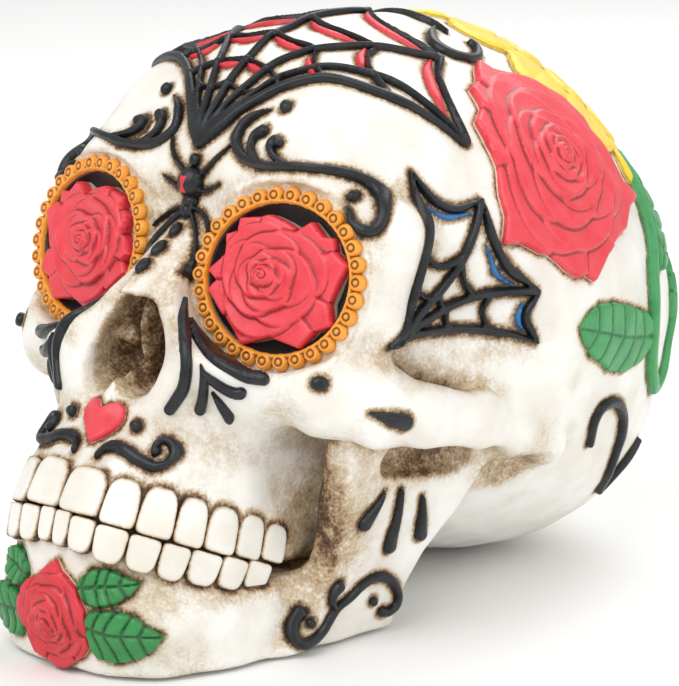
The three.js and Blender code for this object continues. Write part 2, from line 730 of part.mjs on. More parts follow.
const rootRings = [{ share: 1, lift: -rootDepth }, { share: 0.5, lift: -2 * rootDepth }];
const domeRings = (height) => [
  { share: 0.5, lift: height },
  { share: 0.85, lift: 0.8 * height },
  { share: 1, lift: fitGap },
];
const roseRings = (height) => [
  { share: 0.14, lift: height },
  { share: 0.34, lift: 0.92 * height },
  { share: 0.4, lift: 0.66 * height },
  { share: 0.66, lift: 0.74 * height },
  { share: 0.72, lift: 0.46 * height },
  { share: 0.98, lift: 0.42 * height },
  { share: 1, lift: 0.12 * height },
  ...rootRings,
];

function loop(radius, count, wave = evenWidth, squash = 1) {
  return Array.from({ length: count }, (_, n) => {
    const angle = (fullTurn * n) / count;
    const reach = radius * wave(angle);
    return [reach * Math.cos(angle), squash * reach * Math.sin(angle)];
  });
}

const sized = (shares, size) => shares.map(([u, v]) => [u * size, v * size]);
const bothSides = (shares) => [
  ...shares,
  ...shares.filter(([u]) => u > 0).map(([u, v]) => [-u, v]).reverse(),
];

// Pieces are cut to sit on the bone, and on the pieces placed before them, with the fit gap between
const ornament = new THREE.Group();
const placed = [];

function add(name, solid, material) {
  const mesh = new THREE.Mesh(geometryOf(solid), material);
  mesh.name = name;
  ornament.add(mesh);
}

function boxOf({ positions }) {
  return new THREE.Box3().setFromArray(positions).expandByScalar(fitGap);
}

function keepClear(body, cutter = solidOf(grown(body, fitGap))) {
  placed.push({ box: boxOf(body), cutter });
}

// The largest body of a cut piece is the piece, and crumbs that a cut leaves beside it are dropped
function largest(solid) {
  return solid.decompose().reduce((best, body) => (body.volume() > best.volume() ? body : best));
}

function relief(name, bodies, material, cutters = boneCutters) {
  let solid = bodies.map(solidOf).reduce((sum, body) => sum.add(body));
  for (const cutter of cutters) solid = solid.subtract(cutter);
  const boxes = bodies.map(boxOf);
  for (const other of placed) {
    if (boxes.some((box) => box.intersectsBox(other.box))) solid = solid.subtract(other.cutter);
  }
  bodies.forEach((body) => keepClear(body));
  add(name, largest(solid), material);
}

function pairedRelief(name, bodies, material, cutters = boneCutters) {
  relief(`${name}_left`, bodies, material, cutters);
  relief(`${name}_right`, bodies.map(mirrored), material, cutters);
}

function pair(name, body, material) {
  add(`${name}_left`, solidOf(body), material);
  add(`${name}_right`, solidOf(mirrored(body)), material);
}

// Bone
add('skull_casting', skullSolid(0), bone);
add('lower_jaw', solidOf(jawMesh).subtract(belowBase(0)).subtract(skullCutter), bone);

// Teeth: a row follows the arch, with a groove between each tooth and the next
const archHalfWidth = thick(0.316);
const archReach = thick(0.51);
const archPower = 2.7;
const archLean = 0.12;
const archSamples = 120;
const archCurve = new THREE.CatmullRomCurve3(Array.from({ length: archSamples + 1 }, (_, n) => {
  const angle = (Math.PI / 2) * (n / archSamples);
  const across = archHalfWidth * Math.sin(angle) ** (2 / archPower);
  return new THREE.Vector3(across, archReach * Math.max(Math.cos(angle), 0) ** (2 / archPower), 0);
}));
archCurve.arcLengthDivisions = archSamples;

function toothStations() {
  const stations = [{ run: 0, groove: 1 }];
  let from = 0;
  for (const width of toothWidths) {
    stations.push({ run: from + 0.2 * width, groove: 0 }, { run: from + 0.8 * width, groove: 0 });
    from += width;
    stations.push({ run: from, groove: 1 });
  }
  const right = stations.slice(1).map(({ run, groove }) => ({ run: -run, groove })).reverse();
  return [...right, ...stations];
}

const toothSection = [[0, 0], [0, 0.75], [0.4, 1], [1, 1], [1, 0]];

function toothRow(crown, direction) {
  return skin(toothStations().map(({ run, groove }) => {
    const share = Math.min(Math.abs(run) / archCurve.getLength(), 1);
    const spot = archCurve.getPointAt(share);
    const along = archCurve.getTangentAt(share);
    const side = Math.sign(run) || 1;
    return toothSection.map(([inward, rise]) => {
      const height = direction * (biteGap / 2 + rise * crown);
      const reach = -groove * toothGroove - inward * toothDepth - archLean * height;
      return fromBite(side * (spot.x - along.y * reach), spot.y + along.x * reach, height);
    });
  }));
}

relief('upper_teeth', [toothRow(upperCrown, 1)], enamel, rootedCutters);
relief('lower_teeth', [toothRow(lowerCrown, -1)], enamel, rootedCutters);

// Eyes: a scalloped ring, a black cup and a rose in each socket
const eyeSquash = ringHeight / ringWidth;

function eyeRing() {
  const scallop = (angle) => 1 - (scallopDepth / ringWidth) * (1 + Math.cos(scallopCount * angle));
  const outline = loop(ringWidth / 2, 3 * scallopCount, scallop, eyeSquash);
  const shape = new THREE.Shape(outline.map(([x, y]) => new THREE.Vector2(x, y)));
  const inner = ringWidth / 2 - ringBand;
  shape.holes.push(new THREE.Path().absellipse(0, 0, inner, inner * eyeSquash, 0, fullTurn, true));
  const ring = new THREE.ExtrudeGeometry(shape, { depth: ringThickness, bevelEnabled: false, curveSegments: 12 });
  ring.translate(0, 0, fitGap);
  return outward(meshData(ring, eyeFrame.matrix));
}

const cupFloor = -socketDepth + fitGap;
const cupRadius = socketRadius - fitGap;
const cupProfile = [
  new THREE.Vector2(0, cupFloor),
  new THREE.Vector2(cupFloorWidth / 2, cupFloor),
  new THREE.Vector2(cupRadius, 0),
  new THREE.Vector2(cupRadius - cupWall, 0),
  new THREE.Vector2(cupFloorWidth / 2 - cupWall, cupFloor + cupWall),
  new THREE.Vector2(0, cupFloor + cupWall),
];
const eyePetals = 9;
const eyeRoseWave = (angle) => 0.94 + 0.06 * Math.cos(eyePetals * angle);
const eyeRoseRings = [
  { share: 0.12, lift: eyeRoseTop },
  { share: 0.34, lift: 0.9 * eyeRoseTop },
  { share: 0.4, lift: 0.65 * eyeRoseTop },
  { share: 0.68, lift: 0.7 * eyeRoseTop },
  { share: 0.74, lift: 0.48 * eyeRoseTop },
  { share: 0.98, lift: 0.45 * eyeRoseTop },
  { share: 1, lift: 0.2 * eyeRoseTop },
  { share: 0.9, lift: fitGap },
  { share: eyeRoseStemWidth / eyeRoseWidth, lift: 0 },
  { share: eyeRoseStemWidth / eyeRoseWidth, lift: cupFloor + cupWall + fitGap },
];
const eyeRoseOutline = loop(eyeRoseWidth / 2, 2 * eyePetals, eyeRoseWave, eyeSquash);
const ringClearance = eyeLathe([
  new THREE.Vector2(0, 0),
  new THREE.Vector2(ringWidth / 2 + fitGap, 0),
  new THREE.Vector2(ringWidth / 2 + fitGap, ringThickness + 2 * fitGap),
  new THREE.Vector2(0, ringThickness + 2 * fitGap),
]);
pair('eye_ring', eyeRing(), orange);
pair('eye_cup', eyeLathe(cupProfile), black);
pair('eye_rose', patch(eyeSeat, [0, 0], eyeRoseOutline, eyeRoseRings), coral);
for (const body of [ringClearance, mirrored(ringClearance)]) keepClear(body, solidOf(body));

// Forehead web: a border, spokes and sagging arcs
const webStroke = { height: webHeight, section: squareSection, width: strandWidth, pitch: webPitch };
const webBorder = { ...webStroke, halfWidth: webBorderHalfWidth };
const webSpoke = { ...webStroke, halfWidth: webSpokeHalfWidth };
const webArc = { ...webStroke, halfWidth: webArcHalfWidth };
const otherHalf = (paths) => paths.map((shares) => shares.map(([u, v]) => [-u, v]));

const foreheadBorderShares = [
  [0, -0.33], [0.12, -0.17], [0.26, 0], [0.44, 0.12], [0.64, 0.18], [0.8, 0.21], [0.97, 0.29],
];
const foreheadSpokeShares = [[0, -0.28], [0.08, -0.08], [0.18, 0.16], [0.34, 0.42], [0.56, 0.74]];
const foreheadMiddleShares = [[0, -0.28], [0, 0.2], [0, 0.62], [0, 0.92]];
const foreheadArcShares = [
  [[0, 0.15], [0.08, 0.12], [0.165, 0.12]],
  [[0, 0.38], [0.12, 0.33], [0.275, 0.32]],
  [[0, 0.62], [0.16, 0.52], [0.41, 0.52]],
  [[0, 0.91], [0.24, 0.8], [0.56, 0.74]],
  [[0.08, -0.08], [0.13, -0.11], [0.19, -0.1]],
  [[0.16, 0.11], [0.22, 0.06], [0.31, 0.04]],
  [[0.27, 0.3], [0.36, 0.21], [0.49, 0.15]],
  [[0.42, 0.52], [0.52, 0.33], [0.72, 0.21]],
  [[0.56, 0.74], [0.68, 0.54], [0.97, 0.29]],
];
const foreheadEdges = [foreheadBorderShares];
const foreheadSpokes = [foreheadSpokeShares];
relief('forehead_web', joinedStrokes(foreheadSeat, [
  { paths: [...foreheadEdges, ...otherHalf(foreheadEdges)], look: webBorder },
  { paths: [foreheadMiddleShares, ...foreheadSpokes, ...otherHalf(foreheadSpokes)], look: webSpoke },
  { paths: [...foreheadArcShares, ...otherHalf(foreheadArcShares)], look: webArc },
]), black);

// Temple webs
const templeFrameShares = [
  [[0.02, 0.24], [0.01, 0.08], [0, -0.12], [-0.02, -0.3], [-0.08, -0.42], [-0.23, -0.52]],
  [[-0.23, -0.52], [0, -0.51], [0.24, -0.51], [0.44, -0.56], [0.62, -0.63]],
  [[0.02, 0.24], [0.12, 0.1], [0.22, 0.05], [0.36, 0.06]],
  [[0.36, 0.06], [0.38, -0.12], [0.48, -0.27], [0.62, -0.4]],
  [[0.62, -0.4], [0.56, -0.51], [0.62, -0.63]],
  [[-0.04, -0.46], [0.16, -0.28], [0.28, -0.09], [0.36, 0.06]],
  [[-0.04, -0.47], [0.24, -0.39], [0.44, -0.37], [0.62, -0.4]],
];
const templeArcShares = [
  [[0, -0.14], [0.1, -0.2], [0.22, -0.19]],
  [[-0.01, -0.3], [0.06, -0.34], [0.12, -0.33]],
  [[0.22, -0.2], [0.25, -0.29], [0.33, -0.37]],
  [[0.4, -0.37], [0.36, -0.44], [0.39, -0.54]],
  [[0.18, -0.41], [0.18, -0.46], [0.19, -0.51]],
];
pairedRelief('temple_web', joinedStrokes(templeSeat, [
  { paths: templeFrameShares, look: webSpoke },
  { paths: templeArcShares, look: webArc },
]), black);

// Scrolls, sprays, drops and dots
const scroll = { halfWidth: scrollHalfWidth, height: scrollHeight };
const thinScroll = { ...scroll, halfWidth: 0.85 * scrollHalfWidth };
const spray = { ...scroll, halfWidth: sprayHalfWidth, section: squareSection };
const drop = (halfWidth) => ({ ...scroll, halfWidth, width: dropWidth, pitch: 0.6 * strokePitch });

function dot(place, spotShares) {
  const centre = [spotShares[0] * wideField, spotShares[1] * wideField];
  return [patch(place, centre, loop(dotWidth / 2, 8), domeRings(dotHeight))];
}

const browStemShares = [
  [-0.34, 0.59], [-0.44, 0.53], [-0.47, 0.44], [-0.4, 0.35], [-0.24, 0.32], [-0.08, 0.33], [0.08, 0.34],
  [0.21, 0.31], [0.3, 0.23], [0.34, 0.15], [0.3, 0.09], [0.24, 0.11], [0.21, 0.16],
];
const browCurlShares = [
  [[-0.33, 0.34], [-0.37, 0.41], [-0.35, 0.47], [-0.29, 0.49]],
  [[-0.18, 0.32], [-0.2, 0.4], [-0.24, 0.45]],
];
pairedRelief('brow_scroll', joinedStrokes(browSeat, [
  { paths: [browStemShares], look: scroll },
  { paths: browCurlShares, look: thinScroll },
]), black);
pairedRelief('forehead_dot', dot(browSeat, [-0.26, 0.61]), black);
pairedRelief('brow_dot', dot(browSeat, [0.19, 0.245]), black);
pairedRelief('cheek_dot', dot(browSeat, [0.22, -0.64]), black);
const eyeSprayShares = [
  [[-0.48, 0.24], [-0.48, 0.15], [-0.462, 0.05], [-0.458, -0.032], [-0.472, -0.116], [-0.536, -0.218]],
  [[-0.46, 0.198], [-0.428, 0.132], [-0.38, 0.068], [-0.322, 0.012], [-0.254, -0.032], [-0.102, -0.082]],
  [[-0.392, 0.05], [-0.378, -0.078], [-0.384, -0.162], [-0.398, -0.218]],
  [[-0.382, -0.03], [-0.336, -0.088], [-0.282, -0.124], [-0.208, -0.142]],
  [[-0.346, -0.08], [-0.302, -0.198], [-0.266, -0.254]],
];
const moustacheShares = [
  [0.074, -0.2], [0.11, -0.16], [0.17, -0.152], [0.24, -0.162], [0.308, -0.188], [0.378, -0.206], [0.43, -0.22],
  [0.46, -0.18], [0.43, -0.125], [0.37, -0.12],
];
pairedRelief('eye_spray', joinedStrokes(spraySeat, [{ paths: eyeSprayShares, look: spray }]), black);
pairedRelief('moustache', [wideStroke(noseSeat, moustacheShares, thinScroll)], black);
pairedRelief('lip_dot', dot(noseSeat, [0.208, -0.058]), black);

const tearShares = {
  cheek: [[-0.01, 0.6], [0.08, 0.57], [0.16, 0.54], [0.22, 0.515]],
  front_jaw: [[0.2, 0.16], [0.16, 0.07], [0.08, 0]],
  middle_jaw: [[0.3, 0.15], [0.296, 0], [0.284, -0.17]],
  rear_jaw: [[0.446, 0.07], [0.476, -0.04], [0.5, -0.17]],
};
for (const [place, shares] of Object.entries(tearShares)) {
  const halfWidth = place === 'cheek' ? cheekTearHalfWidth : jawTearHalfWidth;
  pairedRelief(`${place}_tear`, [wideStroke(jawSeat, shares, drop(halfWidth))], black);
}
const jawStemShares = [
  [-0.17, -0.41], [-0.22, -0.48], [-0.19, -0.55], [-0.1, -0.55], [-0.04, -0.47], [0.02, -0.38], [0.12, -0.32],
  [0.24, -0.3], [0.35, -0.34], [0.42, -0.42], [0.39, -0.5], [0.3, -0.5],
];
const jawCurlShares = [[0, -0.4], [-0.04, -0.34], [-0.016, -0.28]];
pairedRelief('jaw_scroll', joinedStrokes(jawSeat, [
  { paths: [jawStemShares], look: scroll },
  { paths: [jawCurlShares], look: thinScroll },
]), black);

// Heart between the nose and the upper lip
const heartOutlineShares = bothSides([
  [0, 0.23], [0.2, 0.38], [0.42, 0.34], [0.5, 0.12], [0.38, -0.12], [0.16, -0.34], [0, -0.5],
]);
const heartDrop = -0.074 * wideField;
const heartOutline = sized(heartOutlineShares, heartWidth);
relief('heart', [patch(noseSeat, [0, heartDrop], heartOutline, domeRings(heartHeight))], coral);

// Spider under the tip of the web: a body in two balls with four pairs of legs
const legShares = [
  [[0.03, -0.32], [0.26, -0.12], [0.455, 0.165]],
  [[0.03, -0.4], [0.25, -0.37], [0.45, -0.295]],
  [[0.03, -0.57], [0.18, -0.61], [0.335, -0.715], [0.48, -0.93]],
  [[0.02, -0.64], [0.13, -0.73], [0.33, -1.06], [0.38, -1.435]],
];
const leg = { ...webArc, halfWidth: spiderLegHalfWidth, height: spiderLegHeight, pitch: strokePitch };
const legs = joinedStrokes(spiderSeat, [
  { paths: [...legShares, ...otherHalf(legShares)], field: smallField, look: leg },
]);
const bellySpot = [0, -0.33 * smallField];
const headSpot = [0, -0.58 * smallField];
const belly = loop(spiderBodyWidth / 2, 10, evenWidth, 1.2);
const head = loop(0.3 * spiderBodyWidth, 8, evenWidth, 1.2);
relief('spider', [
  patch(spiderSeat, bellySpot, belly, domeRings(spiderHeight)),
  patch(spiderSeat, headSpot, head, domeRings(0.7 * spiderHeight)),
  ...legs,
], black);

// Chin rose and its leaves
const leaf = (halfWidth) => ({
  halfWidth, height: leafHeight, section: leafSection, width: leafWidth, pitch: 0.8 * strokePitch,
});
const chinRoseShares = bothSides([
  [0, 0.56], [0.14, 0.42], [0.3, 0.22], [0.48, 0.06], [0.46, -0.14], [0.4, -0.3], [0.22, -0.44], [0, -0.48],
]);
const chinRoseSpot = [0, -0.11 * wideField];
const chinRoseOutline = sized(chinRoseShares, chinRoseWidth);
const chinRoseBody = patch(chinSeat, chinRoseSpot, chinRoseOutline, roseRings(chinRoseHeight));
relief('chin_rose', [chinRoseBody], crimson, rootedCutters);
const chinUpperLeafShares = [[0.15, 0.05], [0.28, 0.08], [0.41, 0.05]];
const chinLowerLeafShares = [[0.2, -0.14], [0.36, -0.16], [0.53, -0.17]];
pairedRelief('chin_upper_leaf', [wideStroke(chinSeat, chinUpperLeafShares, leaf(chinUpperLeafHalfWidth))], green);
pairedRelief('chin_lower_leaf', [wideStroke(chinSeat, chinLowerLeafShares, leaf(chinLowerLeafHalfWidth))], green);

// Yellow flower on the back of the crown
const petalCount = 16;
const petalWave = (angle) => 0.94 + 0.06 * Math.cos(petalCount * angle);
const backFlowerOutline = loop(backFlowerWidth / 2, 2 * petalCount, petalWave, 0.93);
const backFlowerBody = patch(backSeat, [0, 0], backFlowerOutline, [
  { share: 0.3, lift: backFlowerHeight },
  { share: 0.4, lift: 0.7 * backFlowerHeight },
  { share: 0.7, lift: 0.75 * backFlowerHeight },
  { share: 0.97, lift: 0.6 * backFlowerHeight },
  { share: 1, lift: 0.3 * backFlowerHeight },
  ...rootRings,
]);
relief('back_flower', [backFlowerBody], yellow, rootedCutters);

// Side roses with their vines and leaves
const sideRoseShares = [
  [-0.11, 0.52], [-0.18, 0.48], [-0.23, 0.41], [-0.32, 0.375], [-0.34, 0.29], [-0.43, 0.21], [-0.43, 0.11],
  [-0.45, 0], [-0.48, -0.125], [-0.5, -0.21], [-0.54, -0.32], [-0.43, -0.34], [-0.34, -0.39], [-0.23, -0.45],
  [-0.2, -0.5], [-0.125, -0.52], [-0.02, -0.545], [0.07, -0.46], [0.14, -0.41], [0.3, -0.34], [0.39, -0.25],
  [0.5, -0.2], [0.43, -0.125], [0.41, -0.02], [0.39, 0.09], [0.39, 0.2], [0.3, 0.3], [0.16, 0.39], [0.02, 0.45],
];
const sideRoseSpot = [0.1 * wideField, 0.1 * wideField];
const sideRoseOutline = sized(sideRoseShares, sideRoseWidth);
const sideRoseBody = patch(sideSeat, sideRoseSpot, sideRoseOutline, roseRings(sideRoseHeight));
pairedRelief('side_rose', [sideRoseBody], coral, rootedCutters);

const vineShares = [
  [0.26, 0.76], [0.17, 0.6], [0.15, 0.44], [0.2, 0.26], [0.21, 0.1], [0.27, -0.06], [0.38, -0.19], [0.52, -0.24],
  [0.64, -0.16], [0.7, 0], [0.72, 0.2], [0.68, 0.4],
];
const frontVineLeafShares = [[0.24, 0.19], [0, 0.25], [-0.24, 0.24], [-0.43, 0.26]];
const upperVineLeafShares = [[0.22, 0.52], [0.42, 0.6], [0.64, 0.7]];
const vine = { halfWidth: vineHalfWidth, height: vineHeight, section: flatSection, pitch: 0.8 * webPitch };
pairedRelief('rose_vine', [wideStroke(napeSeat, vineShares, vine)], green);
pairedRelief('front_vine_leaf', [wideStroke(napeSeat, frontVineLeafShares, leaf(vineFrontLeafHalfWidth))], green);
pairedRelief('upper_vine_leaf', [wideStroke(napeSeat, upperVineLeafShares, leaf(vineUpperLeafHalfWidth))], green);

// Scrolls on the crown and at the nape
const crownScrollShares = [
  [-0.03, 0.45], [0.02, 0.32], [0.03, 0.2], [0.1, 0.12], [0.19, 0.11], [0.24, 0.18], [0.21, 0.27],
];
const napeScrollShares = [
  [-0.11, -0.3], [-0.17, -0.2], [-0.12, -0.12], [0, -0.12], [0.1, -0.22], [0.14, -0.36], [0.19, -0.52],
  [0.3, -0.64], [0.44, -0.66],
];
pairedRelief('crown_scroll', [wideStroke(crownSeat, crownScrollShares, scroll)], black);
pairedRelief('nape_scroll', [wideStroke(napeSeat, napeScrollShares, scroll)], black);

// Pads that the casting stands on: two under the jaw and one under the cranium
const padSpots = {
  jaw_left: at(0.25, 0.25, 0),
  jaw_right: at(-0.25, 0.25, 0),
  cranium: at(0, 0.7, 0),
};
for (const [word, spot] of Object.entries(padSpots)) {
  const disc = new THREE.CylinderGeometry(padDiameter / 2, padDiameter / 2, padThickness, 20);
  disc.rotateX(Math.PI / 2);
  disc.translate(spot.x, spot.y, padThickness / 2);
  add(`${word}_pad`, solidOf(meshData(disc)), felt);
}

// The origin is in the middle of the footprint, on the surface that the pads rest on
const bounds = new THREE.Box3().setFromObject(ornament);
const middle = bounds.getCenter(new THREE.Vector3());
ornament.children.forEach((mesh) => mesh.geometry.translate(-middle.x, -middle.y, -bounds.min.z));

export default ornament;
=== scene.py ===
"""Looks of a painted sugar skull, a cast resin ornament of life size with hand-painted reliefs.

Lengths are millimetres in the maker's frame (x to the skull's own left, y back from the chin, z up
from the table) until a shell is handed to Blender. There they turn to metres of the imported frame.
"""

import logging
import math
from dataclasses import dataclass, field
from enum import Enum
from typing import Callable, Iterable, Sequence

import bpy
import numpy as np
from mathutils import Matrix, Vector
from mathutils.bvhtree import BVHTree
from mathutils.kdtree import KDTree


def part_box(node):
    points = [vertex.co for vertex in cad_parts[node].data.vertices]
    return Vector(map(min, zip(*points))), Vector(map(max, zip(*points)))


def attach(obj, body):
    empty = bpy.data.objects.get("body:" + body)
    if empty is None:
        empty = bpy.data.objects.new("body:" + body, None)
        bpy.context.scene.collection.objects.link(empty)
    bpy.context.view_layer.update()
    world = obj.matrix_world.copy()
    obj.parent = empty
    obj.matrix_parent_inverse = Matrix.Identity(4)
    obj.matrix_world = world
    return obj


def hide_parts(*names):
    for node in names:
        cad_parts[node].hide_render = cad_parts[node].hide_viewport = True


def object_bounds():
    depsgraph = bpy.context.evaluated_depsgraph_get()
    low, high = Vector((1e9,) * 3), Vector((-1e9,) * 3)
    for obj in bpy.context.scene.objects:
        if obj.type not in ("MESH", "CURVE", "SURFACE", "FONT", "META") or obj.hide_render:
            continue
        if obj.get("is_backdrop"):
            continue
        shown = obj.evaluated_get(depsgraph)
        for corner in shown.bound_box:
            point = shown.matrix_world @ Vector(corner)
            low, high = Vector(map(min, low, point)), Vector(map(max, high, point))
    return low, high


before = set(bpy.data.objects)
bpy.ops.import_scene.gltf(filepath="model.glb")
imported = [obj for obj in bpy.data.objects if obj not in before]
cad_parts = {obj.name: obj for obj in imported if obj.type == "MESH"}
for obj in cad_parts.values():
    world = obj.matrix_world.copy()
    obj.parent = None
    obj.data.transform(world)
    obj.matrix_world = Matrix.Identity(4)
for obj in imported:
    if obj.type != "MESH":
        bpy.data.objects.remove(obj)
CAD_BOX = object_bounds()

LOG = logging.getLogger("sugar_skull")
Array = np.ndarray
Tree = bpy.types.NodeTree
Socket = bpy.types.NodeSocket
Point = tuple[float, ...]
Seat = Callable[[Array, Array], tuple[Array, Array]]

MM = 0.001
JAW_PAD_Y = 50.0          # where the jaw pads stand in the maker's frame
BASE_LEVEL = 1.0          # the bone ends on top of its felt pads
BONE_PITCH = 0.85         # grid of the bone meshes
ROOT = 1.2                # how deep a relief is let into the bone
TABLE_GAP = 0.2           # reliefs stay this far over the table
PAINT_PITCH = 0.33        # grid of the painted scrolls and dots
SEED = 7
SHARP = 55.0              # edges of a relief that turn further, in degrees, stay sharp
ROUND_SHARP = 80.0        # the same for bone and teeth, which are rounder


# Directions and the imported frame

def turned(angle: float) -> tuple[float, float]:
    """Gives the cosine and the sine of an angle in degrees."""
    return math.cos(math.radians(angle)), math.sin(math.radians(angle))


def way_out(azimuth: float, elevation: float) -> Array:
    """Gives the way from the skull to a place round it; azimuth 0 is in front, both are in degrees."""
    (across, side), (level, rise) = turned(azimuth), turned(elevation)
    return np.array([side * level, -across * level, rise])


def packed_shift() -> float:
    """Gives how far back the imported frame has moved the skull, in millimetres."""
    low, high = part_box("jaw_left_pad")
    return ((low + high) / 2).y / MM - JAW_PAD_Y


# Colour and node helpers

def linear(hex_colour: str) -> tuple[float, float, float, float]:
    """Turns an sRGB hex colour into linear RGBA.

    Args:
        hex_colour: Six hex digits.

    Returns:
        The linear colour with full alpha.
    """
    channels = [int(hex_colour[n:n + 2], 16) / 255 for n in (0, 2, 4)]
    red, green, blue = [c / 12.92 if c <= 0.04045 else ((c + 0.055) / 1.055) ** 2.4 for c in channels]
    return red, green, blue, 1.0


def per_mm(size: float) -> float:
    """Gives the noise scale that makes a pattern of this size in millimetres."""
    return 1 / (size * MM)


def add_node(tree: Tree, kind: str, settings: dict | None = None,
             links: dict | None = None) -> bpy.types.Node:
    """Adds one node with its settings and links.

    Args:
        tree: The material's node tree.
        kind: Blender's node type.
        settings: Values by property name, or by the name or number of an input.
        links: Output sockets by the name or number of the input that they feed.

    Returns:
        The new node.
    """
    node = tree.nodes.new(kind)
    for key, value in (settings or {}).items():
        if isinstance(key, str) and hasattr(node, key):
            setattr(node, key, value)
        else:
            node.inputs[key].default_value = value
    for key, output in (links or {}).items():
        tree.links.new(output, node.inputs[key])
    return node


# Finishes

class Slot(Enum):
    """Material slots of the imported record."""

    BONE = "painted_bone"
    ENAMEL = "painted_enamel"
    ORANGE = "orange_paint"
    CORAL = "coral_paint"
    CRIMSON = "crimson_paint"
    GREEN = "green_paint"
    YELLOW = "yellow_paint"
    BLACK = "black_paint"
    FELT = "felt_pad"


@dataclass(frozen=True)
class Finish:
    """A surface finish that can dress a piece."""

    name: str
    slot: Slot | None

    def fill(self, tree: Tree) -> bpy.types.Node:
        """Adds the nodes of the finish and returns its shader."""
        raise NotImplementedError

    def material(self) -> bpy.types.Material:
        """Returns the finish as a material, made once."""
        made = bpy.data.materials.get(self.name)
        if made:
            return made
        made = bpy.data.materials.new(self.name)
        made.use_nodes = True
        tree = made.node_tree
        tree.nodes.clear()
        shader = self.fill(tree)
        add_node(tree, "ShaderNodeOutputMaterial", links={"Surface": shader.outputs[0]})
        return made


def mark_value(tree: Tree, mark: str) -> Socket:
    """Adds a reader for a mark that the shells carry and returns its number."""
    return add_node(tree, "ShaderNodeAttribute", {"attribute_name": mark}).outputs["Fac"]


def noise_value(tree: Tree, size: float, detail: float = 3.0) -> Socket:
    """Adds solid noise of a size in millimetres, fixed to the object, and returns its number."""
    coordinates = add_node(tree, "ShaderNodeTexCoord")
    settings = {"Scale": per_mm(size), "Detail": detail, "Roughness": 0.55}
    links = {"Vector": coordinates.outputs["Object"]}
    return add_node(tree, "ShaderNodeTexNoise", settings, links).outputs[0]


def sum_of(tree: Tree, value: Socket, factor: float, other: Socket | float) -> Socket:
    """Adds value times factor plus other, and returns the result."""
    settings: dict = {"operation": "MULTIPLY_ADD", 1: factor}
    links = {0: value}
    if isinstance(other, float):
        settings[2] = other
    else:
        links[2] = other
    return add_node(tree, "ShaderNodeMath", settings, links).outputs[0]


def blend_of(tree: Tree, factor: Socket, first: Socket | str, second: Socket | str) -> Socket:
    """Adds a mix of two colours, given as sockets or hex values, and returns the result."""
    settings: dict = {"data_type": "RGBA"}
    links: dict = {0: factor}
    for number, colour in ((6, first), (7, second)):
        if isinstance(colour, str):
            settings[number] = linear(colour)
        else:
            links[number] = colour
    return add_node(tree, "ShaderNodeMix", settings, links).outputs[2]


def product_of(tree: Tree, first: Socket, second: Socket) -> Socket:
    """Adds the product of two values and returns it."""
    return add_node(tree, "ShaderNodeMath", {"operation": "MULTIPLY"}, {0: first, 1: second}).outputs[0]


def step_of(tree: Tree, value: Socket, low: float, high: float) -> Socket:
    """Adds a soft step of a value from low to high and returns the result."""
    settings = {"interpolation_type": "SMOOTHSTEP", 1: low, 2: high}
    return add_node(tree, "ShaderNodeMapRange", settings, {0: value}).outputs[0]


def bump_of(tree: Tree, value: Socket, depth: float) -> Socket:
    """Adds a bump with a depth in millimetres and returns its normal."""
    settings = {"Strength": 1.0, "Distance": depth * MM}
    return add_node(tree, "ShaderNodeBump", settings, {"Height": value}).outputs[0]


@dataclass(frozen=True)
class WashedAndShadedResin(Finish):
    """Cast resin painted off-white, then washed with brown that stays in the hollows. The same browns also
    paint shade in hollows, round reliefs and between teeth.
    """

    light: str = "F2F1EC"
    warm: str = "E6E1D6"
    # Tan, brown and dark are the colours of the wash and of the painted shade
    tan: str = "C2AC8C"
    brown: str = "7A5A3A"
    dark: str = "35241A"
    roughness: float = 0.42
    grain: float = 0.55

    def fill(self, tree: Tree) -> bpy.types.Node:
        """Adds layers of wash and painted shade over the base paint, with a fine cast grain."""
        wash_and_shade = mark_value(tree, "wash_and_shade")
        mottle = noise_value(tree, 16.0)
        smudge = noise_value(tree, 3.2, 5.0)
        speck = noise_value(tree, 0.8, 2.0)
        # The wash and painted shade pool unevenly, so their strength follows two sizes of noise
        uneven = sum_of(tree, smudge, 1.9, sum_of(tree, speck, 1.1, -0.55))
        pooled_wash_and_shade = product_of(tree, wash_and_shade, uneven)
        base = blend_of(tree, step_of(tree, mottle, 0.35, 0.7), self.light, self.warm)
        # Tan, brown and dark brown are laid over the base where the mark of wash and painted shade is high
        wash_and_shade_tan = blend_of(tree, step_of(tree, pooled_wash_and_shade, 0.02, 0.42), base, self.tan)
        wash_and_shade_brown = blend_of(tree, step_of(tree, pooled_wash_and_shade, 0.3, 0.8), wash_and_shade_tan, self.brown)
        colour = blend_of(tree, step_of(tree, pooled_wash_and_shade, 0.62, 1.2), wash_and_shade_brown, self.dark)
        rough = product_of(tree, wash_and_shade, noise_value(tree, 2.6, 4.0))
        grain = bump_of(tree, sum_of(tree, rough, 3.0, noise_value(tree, self.grain, 4.0)), 0.10)
        gloss = sum_of(tree, pooled_wash_and_shade, 0.25, self.roughness)
        settings = {"Specular IOR Level": 0.5, "Coat Weight": 0.12, "Coat Roughness": 0.3}
        return add_node(tree, "ShaderNodeBsdfPrincipled", settings,
                        {"Base Color": colour, "Roughness": gloss, "Normal": grain})


